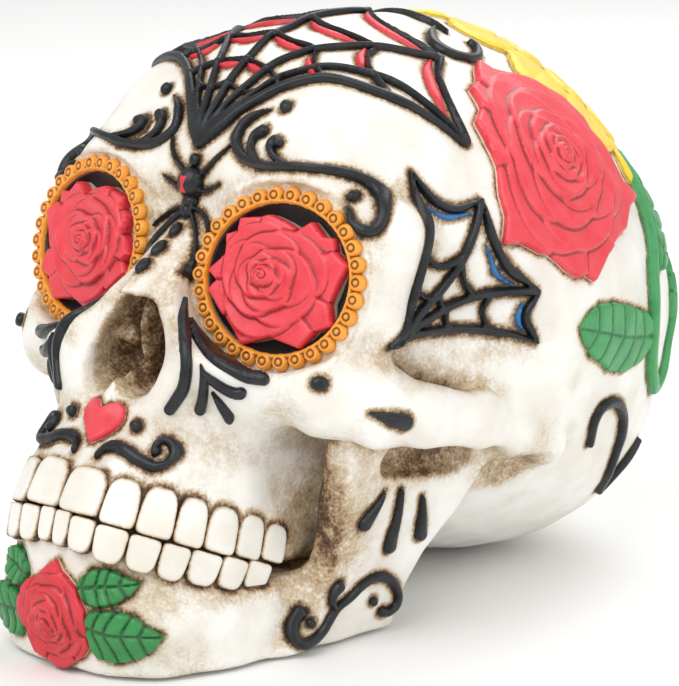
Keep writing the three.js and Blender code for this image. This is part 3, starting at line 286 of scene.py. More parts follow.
@dataclass(frozen=True)
class BrushedPaint(Finish):
    """Acrylic paint brushed on a relief. It has painted shade in the creases and is bare at the foot."""

    colour: str = "FFFFFF"
    shade: str = "808080"
    crease_shade_colour: str = "000000"
    foot: str = "8A6A48"
    roughness: float = 0.4
    coat: float = 0.0
    specular: float = 0.5
    brush: float = 0.16

    def fill(self, tree: Tree) -> bpy.types.Node:
        """Adds brushed colour with painted shade in the creases, which thins at the foot, and a low bump of
        the brush.
        """
        crease_shade = mark_value(tree, "crease_shade")
        foot = mark_value(tree, "foot")
        patch = noise_value(tree, 5.0, 4.0)
        streak = noise_value(tree, 1.1, 3.0)
        painted = blend_of(tree, step_of(tree, patch, 0.38, 0.72), self.colour, self.shade)
        uneven = sum_of(tree, streak, 0.5, crease_shade)
        # Painted shade: the crease colour darkens the paint in the creases
        creased = blend_of(tree, step_of(tree, uneven, 0.45, 1.15), painted, self.crease_shade_colour)
        ragged = sum_of(tree, streak, 0.35, foot)
        colour = blend_of(tree, step_of(tree, ragged, 0.42, 0.56), creased, self.foot)
        normal = bump_of(tree, streak, self.brush)
        settings = {"Roughness": self.roughness, "Specular IOR Level": self.specular,
                    "Coat Weight": self.coat, "Coat Roughness": 0.25}
        return add_node(tree, "ShaderNodeBsdfPrincipled", settings,
                        {"Base Color": colour, "Normal": normal})


@dataclass(frozen=True)
class Felt(Finish):
    """Pressed wool felt. Its fine fibres give a dull face with a soft sheen."""

    colour: str = "2B2623"
    fleck: str = "4A433E"

    def fill(self, tree: Tree) -> bpy.types.Node:
        """Adds flecks of fibre."""
        fibre = noise_value(tree, 0.5, 6.0)
        colour = blend_of(tree, step_of(tree, fibre, 0.35, 0.75), self.colour, self.fleck)
        settings = {"Roughness": 0.95, "Sheen Weight": 0.4}
        return add_node(tree, "ShaderNodeBsdfPrincipled", settings,
                        {"Base Color": colour, "Normal": bump_of(tree, fibre, 0.3)})


@dataclass(frozen=True)
class PaleSweep(Finish):
    """Matt pale paint of the studio floor."""

    colour: str = "F4F4F3"

    def fill(self, tree: Tree) -> bpy.types.Node:
        """Adds one matt shader, which keeps the floor plain."""
        return add_node(tree, "ShaderNodeBsdfPrincipled",
                        {"Base Color": linear(self.colour), "Roughness": 0.9})


BONE = WashedAndShadedResin("cast_resin_with_wash_and_painted_shade", Slot.BONE)
ENAMEL = WashedAndShadedResin("tooth_paint_with_wash_and_painted_shade", Slot.ENAMEL, light="EDEBE4", warm="E2DCCF",
                       roughness=0.34, grain=0.9)
# Each paint: its colour, a second tone for random patches, the colour of its painted crease shade and the
# colour of its bare foot
BLACK = BrushedPaint("brushed_black_paint", Slot.BLACK, "17191C", "222529", "0B0C0E", "A48C6A",
                     roughness=0.34, coat=0.2, specular=0.3)
CORAL = BrushedPaint("brushed_coral_paint", Slot.CORAL, "E5444F", "DE3440", "97202A", "E7D9C2",
                     roughness=0.38, coat=0.15)
CRIMSON = BrushedPaint("brushed_crimson_paint", Slot.CRIMSON, "D5303A", "C8222E", "7C141C", "E7D9C2",
                       roughness=0.38, coat=0.15)
ORANGE = BrushedPaint("brushed_orange_paint", Slot.ORANGE, "F0A238", "E8962C", "8A4D17", "D9C29C",
                      roughness=0.42, coat=0.1)
LEAF_GREEN = BrushedPaint("brushed_leaf_green_paint", Slot.GREEN, "3F9A58", "348B4D", "1B5A30", "D9CDB4",
                          roughness=0.4, coat=0.15)
CHIN_GREEN = BrushedPaint("brushed_deep_green_paint", Slot.GREEN, "2F8A44", "257A3A", "10401F", "D9CDB4",
                          roughness=0.4, coat=0.15)
YELLOW = BrushedPaint("brushed_yellow_paint", Slot.YELLOW, "F2D33C", "EBC931", "AD8420", "E7D9C2",
                      roughness=0.42, coat=0.1)
LINE_RED = BrushedPaint("brushed_red_lining_paint", Slot.CRIMSON, "D8333F", "C92A36", "7C141C", "D8333F",
                        roughness=0.4, coat=0.1)
LINE_BLUE = BrushedPaint("brushed_blue_lining_paint", None, "2E6DA8", "275F95", "173A5E", "2E6DA8",
                         roughness=0.4, coat=0.1)
FELT = Felt("pressed_felt", Slot.FELT)
SWEEP = PaleSweep("pale_sweep_paint", None)


# Shells and their meshes

@dataclass
class Shell:
    """A closed mesh in the maker's frame, with a number per point under each mark."""

    points: Array
    quads: Array
    triangles: Array = field(default_factory=lambda: np.zeros((0, 3), int))
    marks: dict[str, Array] = field(default_factory=dict)

    def mirrored(self) -> "Shell":
        """Returns the shell of the other side."""
        flipped = self.points * (-1.0, 1.0, 1.0)
        return Shell(flipped, self.quads[:, ::-1], self.triangles[:, ::-1], self.marks)

    @staticmethod
    def joined(shells: Sequence["Shell"]) -> "Shell":
        """Joins shells into one piece.

        Args:
            shells: Shells with the same marks.

        Returns:
            One shell that holds them all.
        """
        starts = np.cumsum([0] + [len(shell.points) for shell in shells])
        return Shell(
            np.concatenate([shell.points for shell in shells]),
            np.concatenate([shell.quads + start for shell, start in zip(shells, starts)]),
            np.concatenate([shell.triangles + start for shell, start in zip(shells, starts)]),
            {mark: np.concatenate([shell.marks[mark] for shell in shells]) for mark in shells[0].marks},
        )

    def to_object(self, name: str, sharp: float) -> bpy.types.Object:
        """Makes the Blender object.

        Args:
            name: The object's name.
            sharp: Edges that turn further than this many degrees stay sharp.

        Returns:
            The linked object, smooth-shaded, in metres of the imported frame.
        """
        offset = np.array([0.0, packed_shift(), 0.0])
        mesh = bpy.data.meshes.new(name)
        faces = self.quads.tolist() + self.triangles.tolist()
        mesh.from_pydata(((self.points + offset) * MM).tolist(), [], faces)
        for mark, values in self.marks.items():
            layer = mesh.attributes.new(mark, "FLOAT", "POINT")
            layer.data.foreach_set("value", np.ascontiguousarray(values, np.float32))
        mesh.shade_smooth()
        mesh.set_sharp_from_angle(angle=math.radians(sharp))
        piece = bpy.data.objects.new(name, mesh)
        bpy.context.scene.collection.objects.link(piece)
        return piece


def skin(rows: Sequence[Array], marks: dict[str, Array]) -> Shell:
    """Closes rows of points into a shell, with a fan at each end.

    Args:
        rows: Loops of the same number of points, in order.
        marks: Numbers per row under each mark.

    Returns:
        The closed shell.
    """
    size, count = len(rows[0]), len(rows)
    points = np.concatenate([*rows, rows[0].mean(0)[None], rows[-1].mean(0)[None]])
    r, c = np.meshgrid(np.arange(count - 1), np.arange(size), indexing="ij")
    n = (c + 1) % size
    ring = [r * size + c, r * size + n, (r + 1) * size + n, (r + 1) * size + c]
    quads = np.stack(ring, -1).reshape(-1, 4)
    side = np.arange(size)
    nxt = (side + 1) % size
    top, last = count * size, (count - 1) * size
    triangles = np.concatenate([
        np.stack([np.full(size, top), nxt, side], 1),
        np.stack([np.full(size, top + 1), last + side, last + nxt], 1),
    ])
    spread = {
        mark: np.concatenate([np.repeat(values, size), values[[0, -1]]])
        for mark, values in marks.items()
    }
    return Shell(points, quads, triangles, spread)


@dataclass
class Piece:
    """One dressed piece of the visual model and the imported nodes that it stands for."""

    name: str
    shell: Shell
    finish: Finish
    nodes: tuple[str, ...] = ()
    sharp: float = SHARP

    def put(self) -> bpy.types.Object:
        """Makes the object, dresses it and ties it to the frame."""
        piece = self.shell.to_object(self.name, self.sharp)
        piece.data.materials.append(self.finish.material())
        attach(piece, "root")
        if self.nodes:
            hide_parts(*self.nodes)
        LOG.info("%s: %d points, for %s", self.name, len(self.shell.points), self.nodes or "no node")
        return piece


def single(name: str, shell: Shell, finish: Finish, sharp: float = SHARP) -> Piece:
    """Gives a piece that stands for the node of its own name."""
    return Piece(name, shell, finish, (name,), sharp)


def pair(name: str, shell: Shell, finish: Finish, node: bool = True) -> list[Piece]:
    """Gives the left piece and its mirror image on the right."""
    return [
        Piece(f"{name}_{side}", made, finish, (f"{name}_{side}",) if node else ())
        for side, made in (("left", shell), ("right", shell.mirrored()))
    ]


# Distance functions of the bone, negative inside

def soft_min(a: Array, b: Array, blend: float) -> Array:
    """Joins two distances with a fillet as wide as blend."""
    if blend <= 0:
        return np.minimum(a, b)
    overlap = np.maximum(blend - np.abs(a - b), 0)
    return np.minimum(a, b) - overlap * overlap / (4 * blend)


def soft_max(a: Array, b: Array, blend: float) -> Array:
    """Cuts one distance by another with a rounded edge as wide as blend."""
    return -soft_min(-a, -b, blend)


@dataclass(frozen=True)
class Ball:
    """An ellipsoid of bone, tilted about the x axis."""

    centre: Point
    radii: Point
    blend: float = 0.0
    tilt: float = 0.0

    def distance(self, x: Array, y: Array, z: Array) -> Array:
        """Gives the near distance to the ball."""
        cosine, sine = turned(self.tilt)
        dy, dz = y - self.centre[1], z - self.centre[2]
        px = (x - self.centre[0]) / self.radii[0]
        py = (dy * cosine + dz * sine) / self.radii[1]
        pz = (dz * cosine - dy * sine) / self.radii[2]
        near = np.sqrt(px * px + py * py + pz * pz) + 1e-9
        parts = (px / self.radii[0]) ** 2 + (py / self.radii[1]) ** 2 + (pz / self.radii[2]) ** 2
        return near * (near - 1) / (np.sqrt(parts) + 1e-9)


@dataclass(frozen=True)
class Limb:
    """A rod of bone from one round end to another, which may be flattened sideways."""

    start: Point
    end: Point
    start_radius: float
    end_radius: float
    blend: float = 0.0
    squash: float = 1.0

    def distance(self, x: Array, y: Array, z: Array) -> Array:
        """Gives the near distance to the rod."""
        dx = (self.end[0] - self.start[0]) * self.squash
        dy, dz = self.end[1] - self.start[1], self.end[2] - self.start[2]
        px = (x - self.start[0]) * self.squash
        py, pz = y - self.start[1], z - self.start[2]
        along = np.clip((px * dx + py * dy + pz * dz) / (dx * dx + dy * dy + dz * dz), 0, 1)
        away = np.sqrt((px - along * dx) ** 2 + (py - along * dy) ** 2 + (pz - along * dz) ** 2)
        radius = self.start_radius + (self.end_radius - self.start_radius) * along
        return (away - radius) / max(1.0, 0.75 * self.squash)


def merged(distance: Array, parts: Iterable[Ball | Limb], place: Sequence[Array]) -> Array:
    """Joins lumps to a distance, each with its own fillet."""
    for part in parts:
        distance = soft_min(distance, part.distance(*place), part.blend)
    return distance


def hollowed(distance: Array, parts: Iterable[Ball | Limb], place: Sequence[Array]) -> Array:
    """Cuts hollows out of a distance, each with its own rounded edge."""
    for part in parts:
        distance = soft_max(distance, -part.distance(*place), part.blend)
    return distance


def outline_distance(u: Array, v: Array, outline: Sequence[Point]) -> Array:
    """Gives the signed distance to a closed outline in a plane, negative inside."""
    square = np.full(u.shape, 1e9)
    sign = np.ones(u.shape)
    for number, (au, av) in enumerate(outline):
        bu, bv = outline[number - 1]
        eu, ev = bu - au, bv - av
        wu, wv = u - au, v - av
        along = np.clip((wu * eu + wv * ev) / (eu * eu + ev * ev), 0, 1)
        square = np.minimum(square, (wu - eu * along) ** 2 + (wv - ev * along) ** 2)
        over, under, left = v >= av, v < bv, eu * wv > ev * wu
        crossed = (over & under & left) | (~over & ~under & ~left)
        sign = np.where(crossed, -sign, sign)
    return sign * np.sqrt(square)


@dataclass(frozen=True)
class Bite:
    """The bite plane, which leans up to the back, and the dental arches on it."""

    origin: Point = (0.0, 45.0, 17.8)
    tilt: float = 23.5

    def to_plane(self, y: Array, z: Array) -> tuple[Array, Array]:
        """Gives how far forward and how high over the bite line points are."""
        cosine, sine = turned(self.tilt)
        dy, dz = y - self.origin[1], z - self.origin[2]
        return dz * sine - dy * cosine, dy * sine + dz * cosine

    def from_plane(self, x: Array, forward: Array, height: Array) -> Array:
        """Turns places on the bite plane into points."""
        cosine, sine = turned(self.tilt)
        y = self.origin[1] - forward * cosine + height * sine
        z = self.origin[2] + forward * sine + height * cosine
        return np.stack(np.broadcast_arrays(x, y, z), -1)


def arch_distance(x: Array, forward: Array, half_width: Array | float, reach: Array | float,
                  power: Array | float) -> Array:
    """Gives the near distance to a rounded arch that is open to the back."""
    ahead = np.maximum(forward, 0)
    across_share, ahead_share = np.abs(x) / half_width, ahead / reach
    near = (across_share ** power + ahead_share ** power) ** (1 / power) + 1e-9
    slope = np.sqrt((across_share / half_width) ** 2 + (ahead_share / reach) ** 2) + 1e-9
    return near * (near - 1) / slope


@dataclass(frozen=True)
class Band:
    """The slice of an arch between two heights, open to the back, with rounded edges."""

    middle: float
    half: float
    back: float
    edge: float
    back_edge: float = 3.0

    def cut(self, arch: Array, forward: Array, height: Array) -> Array:
        """Cuts the distance to an arch down to the slice."""
        arch = soft_max(arch, np.abs(height - self.middle) - self.half, self.edge)
        return soft_max(arch, -(forward + self.back), self.back_edge)


@dataclass(frozen=True)
class EyeFrame:
    """The plane that the left eye pieces sit on. It looks a little out and up."""

    centre: Point = (30.5, 42.0, 90.3)
    splay: float = 11.0
    tilt: float = 15.0
    width: float = 46.0
    height: float = 42.6

    def axes(self) -> Array:
        """Gives the sideways, upward and outward directions as rows."""
        side = np.array([*turned(self.splay), 0.0])
        out = way_out(self.splay, self.tilt)
        return np.stack([side, np.cross(out, side), out])

    def place(self, u: Array, v: Array, lift: Array) -> Array:
        """Turns places on the eye plane into points."""
        return np.array(self.centre) + np.stack([u, v, lift], -1) @ self.axes()

    def seat(self, u: Array, v: Array) -> tuple[Array, Array]:
        """Gives points of the eye plane and the way out of it, as a seat does."""
        return self.place(u, v, np.zeros_like(u)), np.tile(self.axes()[2], (len(u), 1))

    def local(self, x: Array, y: Array, z: Array) -> tuple[Array, Array, Array]:
        """Gives points as sideways, upward and outward places."""
        away = (np.stack([x, y, z], -1) - np.array(self.centre)) @ self.axes().T
        return away[..., 0], away[..., 1], away[..., 2]


BITE = Bite()
EYE = EyeFrame()


@dataclass(frozen=True)
class BoneForm:
    """The form of the bare skull and jaw, built of lumps that blend into each other."""

    cranium: tuple[Ball | Limb, ...] = (
        Ball((0, 114, 74), (66, 70, 67)),
        Ball((0, 86, 90), (56, 45, 51), 14),
        Ball((0, 140, 50), (57, 49.5, 50), 10),
        Limb((4, 53, 104), (30, 54, 111), 7, 6, 8),
        Limb((30, 54, 111), (50, 60, 101), 6, 5, 8),
        Limb((50, 60, 101), (51, 56, 80), 5, 6, 7),
        Ball((0, 54, 72), (34, 27, 26), 10),
        Ball((0, 44, 66), (36, 29, 22), 6, -10),
        Limb((8.5, 46, 99), (15, 29, 78), 5, 5, 6),
        Limb((15, 29, 78), (11, 22, 62), 5, 5, 5),
    )
    cheek: tuple[Limb, ...] = (
        Limb((26, 36, 70), (42, 44, 66), 9, 10, 8),
        Limb((44, 45, 66), (53, 53, 61), 9.5, 9, 7, 1.8),
        Limb((53, 53, 61), (57.5, 64, 58.5), 8.5, 7.5, 3, 1.8),
        Limb((57.5, 64, 58.5), (59.5, 80, 54), 7.5, 6, 3, 1.8),
        Limb((59.5, 80, 54), (58, 98, 49), 6, 5, 3, 1.8),
    )
    forehead_boss: Ball = Ball((24, 75, 109), (24, 23, 23), 8)
    nasion: Ball = Ball((0, 32, 106), (16, 13.5, 12.5), 6)
    nose_bridge: Limb = Limb((0, 50, 98.6), (0, 23.2, 84.4), 4.8, 3.2, 4)
    nose_dish: Ball = Ball((0, 9, 78), (21, 17.5, 19), 5)
    nose_spine: Limb = Limb((0, 17, 58), (0, 19, 64.5), 2.6, 1.0, 5)
    back_corner: Ball = Ball((28, 136, 69), (32, 42, 35), 8)
    crown_slant: Point = (0.62, 0.187, 0.763, 153.5)
    ear_root: Limb = Limb((57, 97, 47), (57, 109, 42), 5.2, 4.6, 5)
    throat: Ball = Ball((0, 66, 38), (34, 34, 32), 4)
    temple: Ball = Ball((66, 70, 80), (12, 18, 14), 9)
    cheek_recess: Limb = Limb((47.5, 61, 46.8), (52, 81, 43.4), 4.4, 4.0, 1.5)
    ear_hollow: Ball = Ball((57, 97, 36), (7.5, 7, 5.5), 2.5)
    nose_outline: tuple[Point, ...] = (
        (-3, 86.3), (1.6, 85.7), (5.4, 82.6), (8.4, 78.4), (10.4, 74), (11.7, 70.4), (11.6, 67),
        (9.9, 64.2), (6.8, 62.7), (3.6, 63.2), (1.6, 64.8), (0.6, 66.8), (-3, 67),
    )
    nose_depth: float = 37.0
    septum: Ball = Ball((1.2, 37, 75), (1.0, 11, 15), 1.5)
    shell_bone: Ball = Ball((8.5, 37, 73), (3.8, 7, 3.4), 2)
    branch: tuple[Point, ...] = (
        (36, 0), (44, 10), (47, 22), (46, 36), (44, 56), (88, 52), (94, 44), (92, 37), (85, 27),
        (78, 19), (73, 8), (72, 0),
    )
    root_bulge: float = 0.275
    root_fade: float = 12.0
    upper_root: float = 9.6
    lower_root: float = 8.4
    upper_arch: Point = (30.4, 49.0, 2.65)
    upper_taper: Point = (-0.2, -0.45, 0.05)
    upper_band: Band = Band(17, 14, 4, 5)
    mouth_arch: Point = (21, 42, 2)
    mouth_band: Band = Band(0, 24, 14, 3)
    gum_arch: Point = (29.8, 48.2, 2.6)
    gum_slope: float = 0.3
    gum_band: Band = Band(-13, 10, 2, 4)
    chin_y: float = 50.0
    chin_arch: Point = (34, 51.5, 3.0)
    chin_band: Band = Band(8.2, 10.2, 10, 5, 4)
    branch_out: float = 36.0          # how far out the jaw's branch stands, and how it leans
    branch_slopes: Point = (0.13, 0.24)
    branch_from: Point = (47, 13)
    branch_half: float = 4.0
    rim_radius: float = 20.6          # the rim that carries the eye ring, and the socket in it
    rim_half: float = 3.2
    rim_depth: float = 4.0
    rim_clear: float = 23.9
    socket_radius: float = 18.3
    socket_depth: float = 9.0
    socket_reach: float = 30.0
    base_edge: float = 0.8

    def roots(self, x: Array, height: Array, width: float) -> Array:
        """Gives how far the roots of teeth of a width bulge under the gum."""
        fade = np.clip(height / self.root_fade, 0, 1)
        return self.root_bulge * fade * np.cos(x * 2 * math.pi / width)

    def with_sockets(self, distance: Array, place: Sequence[Array]) -> Array:
        """Adds the rims that carry the eye rings, and cuts the sockets."""
        u, v, out = EYE.local(*place)
        away = np.sqrt(u * u + (v * EYE.width / EYE.height) ** 2)
        rim = np.abs(away - self.rim_radius) - self.rim_half
        rim = soft_max(rim, np.abs(out + self.rim_depth) - self.rim_depth, 1.5)
        distance = soft_min(distance, rim, 6)
        distance = soft_max(distance, -soft_max(away - self.rim_clear, -out, 1), 2)
        socket = soft_max(away - self.socket_radius, -(out + self.socket_depth), 2)
        return soft_max(distance, -soft_max(socket, out - self.socket_reach, 2), 2)

    def skull(self, x: Array, y: Array, z: Array) -> Array:
        """Gives the distance to the skull without its jaw."""
        x = np.abs(x)
        place = x, y, z
        forward, height = BITE.to_plane(y, z)
        distance = merged(self.cranium[0].distance(*place), self.cranium[1:], place)
        a, b, c, far = self.crown_slant
        distance = soft_max(distance, a * x + b * y + c * z - far, 30)
        over = np.clip(height - 10, 0, 16)
        sizes = (size + taper * over for size, taper in zip(self.upper_arch, self.upper_taper))
        upper = arch_distance(x, forward, *sizes) - self.roots(x, height, self.upper_root)
        distance = soft_min(distance, self.upper_band.cut(upper, forward, height), 6)
        distance = merged(distance, (*self.cheek, self.forehead_boss), place)
        distance = self.with_sockets(distance, place)
        distance = merged(distance, (self.back_corner,), place)
        distance = hollowed(distance, (self.nose_dish, self.nasion), place)
        distance = merged(distance, (self.nose_bridge, self.nose_spine, self.ear_root), place)
        distance = hollowed(distance, (self.temple, self.ear_hollow), place)
        opening = soft_max(outline_distance(x, z, self.nose_outline), y - self.nose_depth, 5)
        distance = merged(soft_max(distance, -opening, 1.4), (self.throat,), place)
        mouth = self.mouth_band.cut(arch_distance(x, forward, *self.mouth_arch), forward, height)
        distance = hollowed(soft_min(distance, mouth, 3), (self.cheek_recess,), place)
        return soft_max(distance, BASE_LEVEL - z, self.base_edge)

    def nose_inside(self, x: Array, y: Array, z: Array) -> Array:
        """Gives the distance to the thin bones inside the nose, which aren't the same on both sides."""
        distance = self.septum.distance(x + 0.02 * (z - 76) ** 2 / 10, y, z)
        return soft_min(distance, self.shell_bone.distance(np.abs(x), y, z), 2)

    def whole_skull(self, x: Array, y: Array, z: Array) -> Array:
        """Gives the distance to the skull with the bones inside its nose."""
        return soft_min(self.skull(x, y, z), self.nose_inside(x, y, z), 2)

    def jaw(self, x: Array, y: Array, z: Array) -> Array:
        """Gives the distance to the lower jaw."""
        x = np.abs(x)
        forward, height = BITE.to_plane(y, z)
        slopes, start = self.branch_slopes, self.branch_from
        middle = self.branch_out + slopes[0] * (y - start[0]) + slopes[1] * (z - start[1])
        plate = np.abs(x - middle) - self.branch_half
        branch = soft_max(outline_distance(y, z, self.branch), plate, 3)
        ahead = self.chin_y - y
        chin = self.chin_band.cut(arch_distance(x, ahead, *self.chin_arch), ahead, z)
        half_width, reach, power = self.gum_arch
        reach = reach + self.gum_slope * np.clip(height + 6, -30, 0)
        roots = self.roots(x, -height, self.lower_root)
        gum = arch_distance(x, forward, half_width, reach, power) - roots
        gum = self.gum_band.cut(gum, forward, height)
        distance = soft_min(soft_min(chin, gum, 5), branch, 6)
        distance = hollowed(distance, (self.cheek_recess,), (x, y, z))
        return soft_max(distance, BASE_LEVEL - z, self.base_edge)

    def both(self, x: Array, y: Array, z: Array) -> Array:
        """Gives the distance to the nearest bone."""
        return np.minimum(self.whole_skull(x, y, z), self.jaw(x, y, z))


def sampled(distance: Callable, low: Point, high: Point, pitch: float) -> tuple[Array, Array]:
    """Samples a distance on a grid, finely only near the surface.

    Args:
        distance: The distance function.
        low: The lowest corner of the grid.
        high: The highest corner of the grid.
        pitch: The step of the fine grid.

    Returns:
        The sampled distances and the grid's lowest corner.
    """
    stride, margin, batch = 4, 1.7, 800
    coarse = pitch * stride
    counts = [int(math.ceil((b - a) / coarse)) for a, b in zip(low, high)]
    lines = [a + coarse * np.arange(n + 1) for a, n in zip(low, counts)]
    rough = distance(*np.meshgrid(*lines, indexing="ij"))
    least = np.full(counts, np.inf)
    for i in (0, 1):
        for j in (0, 1):
            for k in (0, 1):
                corner = rough[i:counts[0] + i, j:counts[1] + j, k:counts[2] + k]
                least = np.minimum(least, np.abs(corner))
    inside = rough[:-1, :-1, :-1]
    fine = np.repeat(np.repeat(np.repeat(inside, stride, 0), stride, 1), stride, 2)
    near = np.argwhere(least < margin * coarse) * stride
    steps = np.stack(np.meshgrid(*[np.arange(stride)] * 3, indexing="ij"), -1).reshape(-1, 3)
    for part in np.array_split(near, max(1, len(near) // batch)):
        spots = (part[:, None] + steps[None]).reshape(-1, 3)
        where = np.array(low) + pitch * spots
        fine[tuple(spots.T)] = distance(where[:, 0], where[:, 1], where[:, 2])
    return fine, np.array(low, float)


def surface_net(values: Array, origin: Array, pitch: float) -> Shell:
    """Turns sampled distances into a mesh with one point in each cell that the surface crosses.

    Args:
        values: Distances on a grid, negative inside.
        origin: The grid's lowest corner.
        pitch: The grid's step.

    Returns:
        A closed shell that faces out.
    """
    nx, ny, nz = values.shape
    solid = values < 0
    filled = np.zeros((nx - 1, ny - 1, nz - 1), np.int8)
    corners = [(i, j, k) for i in (0, 1) for j in (0, 1) for k in (0, 1)]
    for i, j, k in corners:
        filled += solid[i:nx - 1 + i, j:ny - 1 + j, k:nz - 1 + k]
    cells = np.argwhere((filled > 0) & (filled < 8))
    index = -np.ones(filled.shape, np.int64)
    index[tuple(cells.T)] = np.arange(len(cells))
    sums, crossings = np.zeros((len(cells), 3)), np.zeros(len(cells))
    ci, cj, ck = cells.T
    for corner in corners:
        for axis in range(3):
            if corner[axis]:
                continue
            far = list(corner)
            far[axis] = 1
            here = values[ci + corner[0], cj + corner[1], ck + corner[2]]
            there = values[ci + far[0], cj + far[1], ck + far[2]]
            crossed = (here < 0) != (there < 0)
            point = np.tile(np.array(corner, float), (len(cells), 1))
            point[:, axis] = np.where(crossed, here / np.where(crossed, here - there, 1), 0)
            sums += np.where(crossed[:, None], point, 0)
            crossings += crossed
    points = (cells + sums / crossings[:, None]) * pitch + origin
    quads = []
    for axis in range(3):
        near, far = [slice(None)] * 3, [slice(None)] * 3
        near[axis], far[axis] = slice(0, -1), slice(1, None)
        edges = np.argwhere(solid[tuple(near)] != solid[tuple(far)])
        others = [other for other in range(3) if other != axis]
        limit = np.array(filled.shape)
        whole = np.all([(edges[:, o] > 0) & (edges[:, o] < limit[o]) for o in others], axis=0)
        edges = edges[whole]
        u, v = np.eye(3, dtype=int)[others]
        ring = [index[tuple((edges - step).T)] for step in (u + v, v, 0 * u, u)]
        quad = np.stack(ring, 1)
        outward = solid[tuple(near)][tuple(edges.T)] ^ (axis == 1)
        quads.append(np.where(outward[:, None], quad, quad[:, ::-1]))
    return Shell(points, np.concatenate(quads))


def relaxed(points: Array, quads: Array, turns: int) -> Array:
    """Evens out a mesh by moving every point to the middle of its neighbours a few times."""
    starts = quads.ravel()
    ends = np.roll(quads, -1, axis=1).ravel()
    a, b = np.concatenate([starts, ends]), np.concatenate([ends, starts])
    count = np.bincount(a, minlength=len(points))[:, None]
    for _ in range(turns):
        sums = np.stack([np.bincount(a, points[b, axis], len(points)) for axis in range(3)], 1)
        points = 0.5 * points + 0.5 * sums / count
    return points


def normals_of(distance: Callable, points: Array, reach: float = 0.35) -> Array:
    """Gives the outward direction of a distance function at points."""
    parts = []
    for axis in range(3):
        step = np.zeros(3)
        step[axis] = reach
        ahead, behind = points + step, points - step
        parts.append(distance(*ahead.T) - distance(*behind.T))
    normals = np.stack(parts, 1)
    return normals / (np.linalg.norm(normals, axis=1, keepdims=True) + 1e-12)


def lumps(points: Array, size: float, seed: int) -> Array:
    """Gives smooth uneven numbers of about one over points, for hand-worked surfaces."""
    random = np.random.default_rng(seed)
    waves = 14
    directions = random.normal(size=(waves, 3))
    rates = (2 * math.pi / size) * random.uniform(0.7, 1.4, (waves, 1))
    directions *= rates / np.linalg.norm(directions, axis=1, keepdims=True)
    phases = random.uniform(0, 2 * math.pi, waves)
    return np.sin(points @ directions.T + phases).sum(1) / 3.0


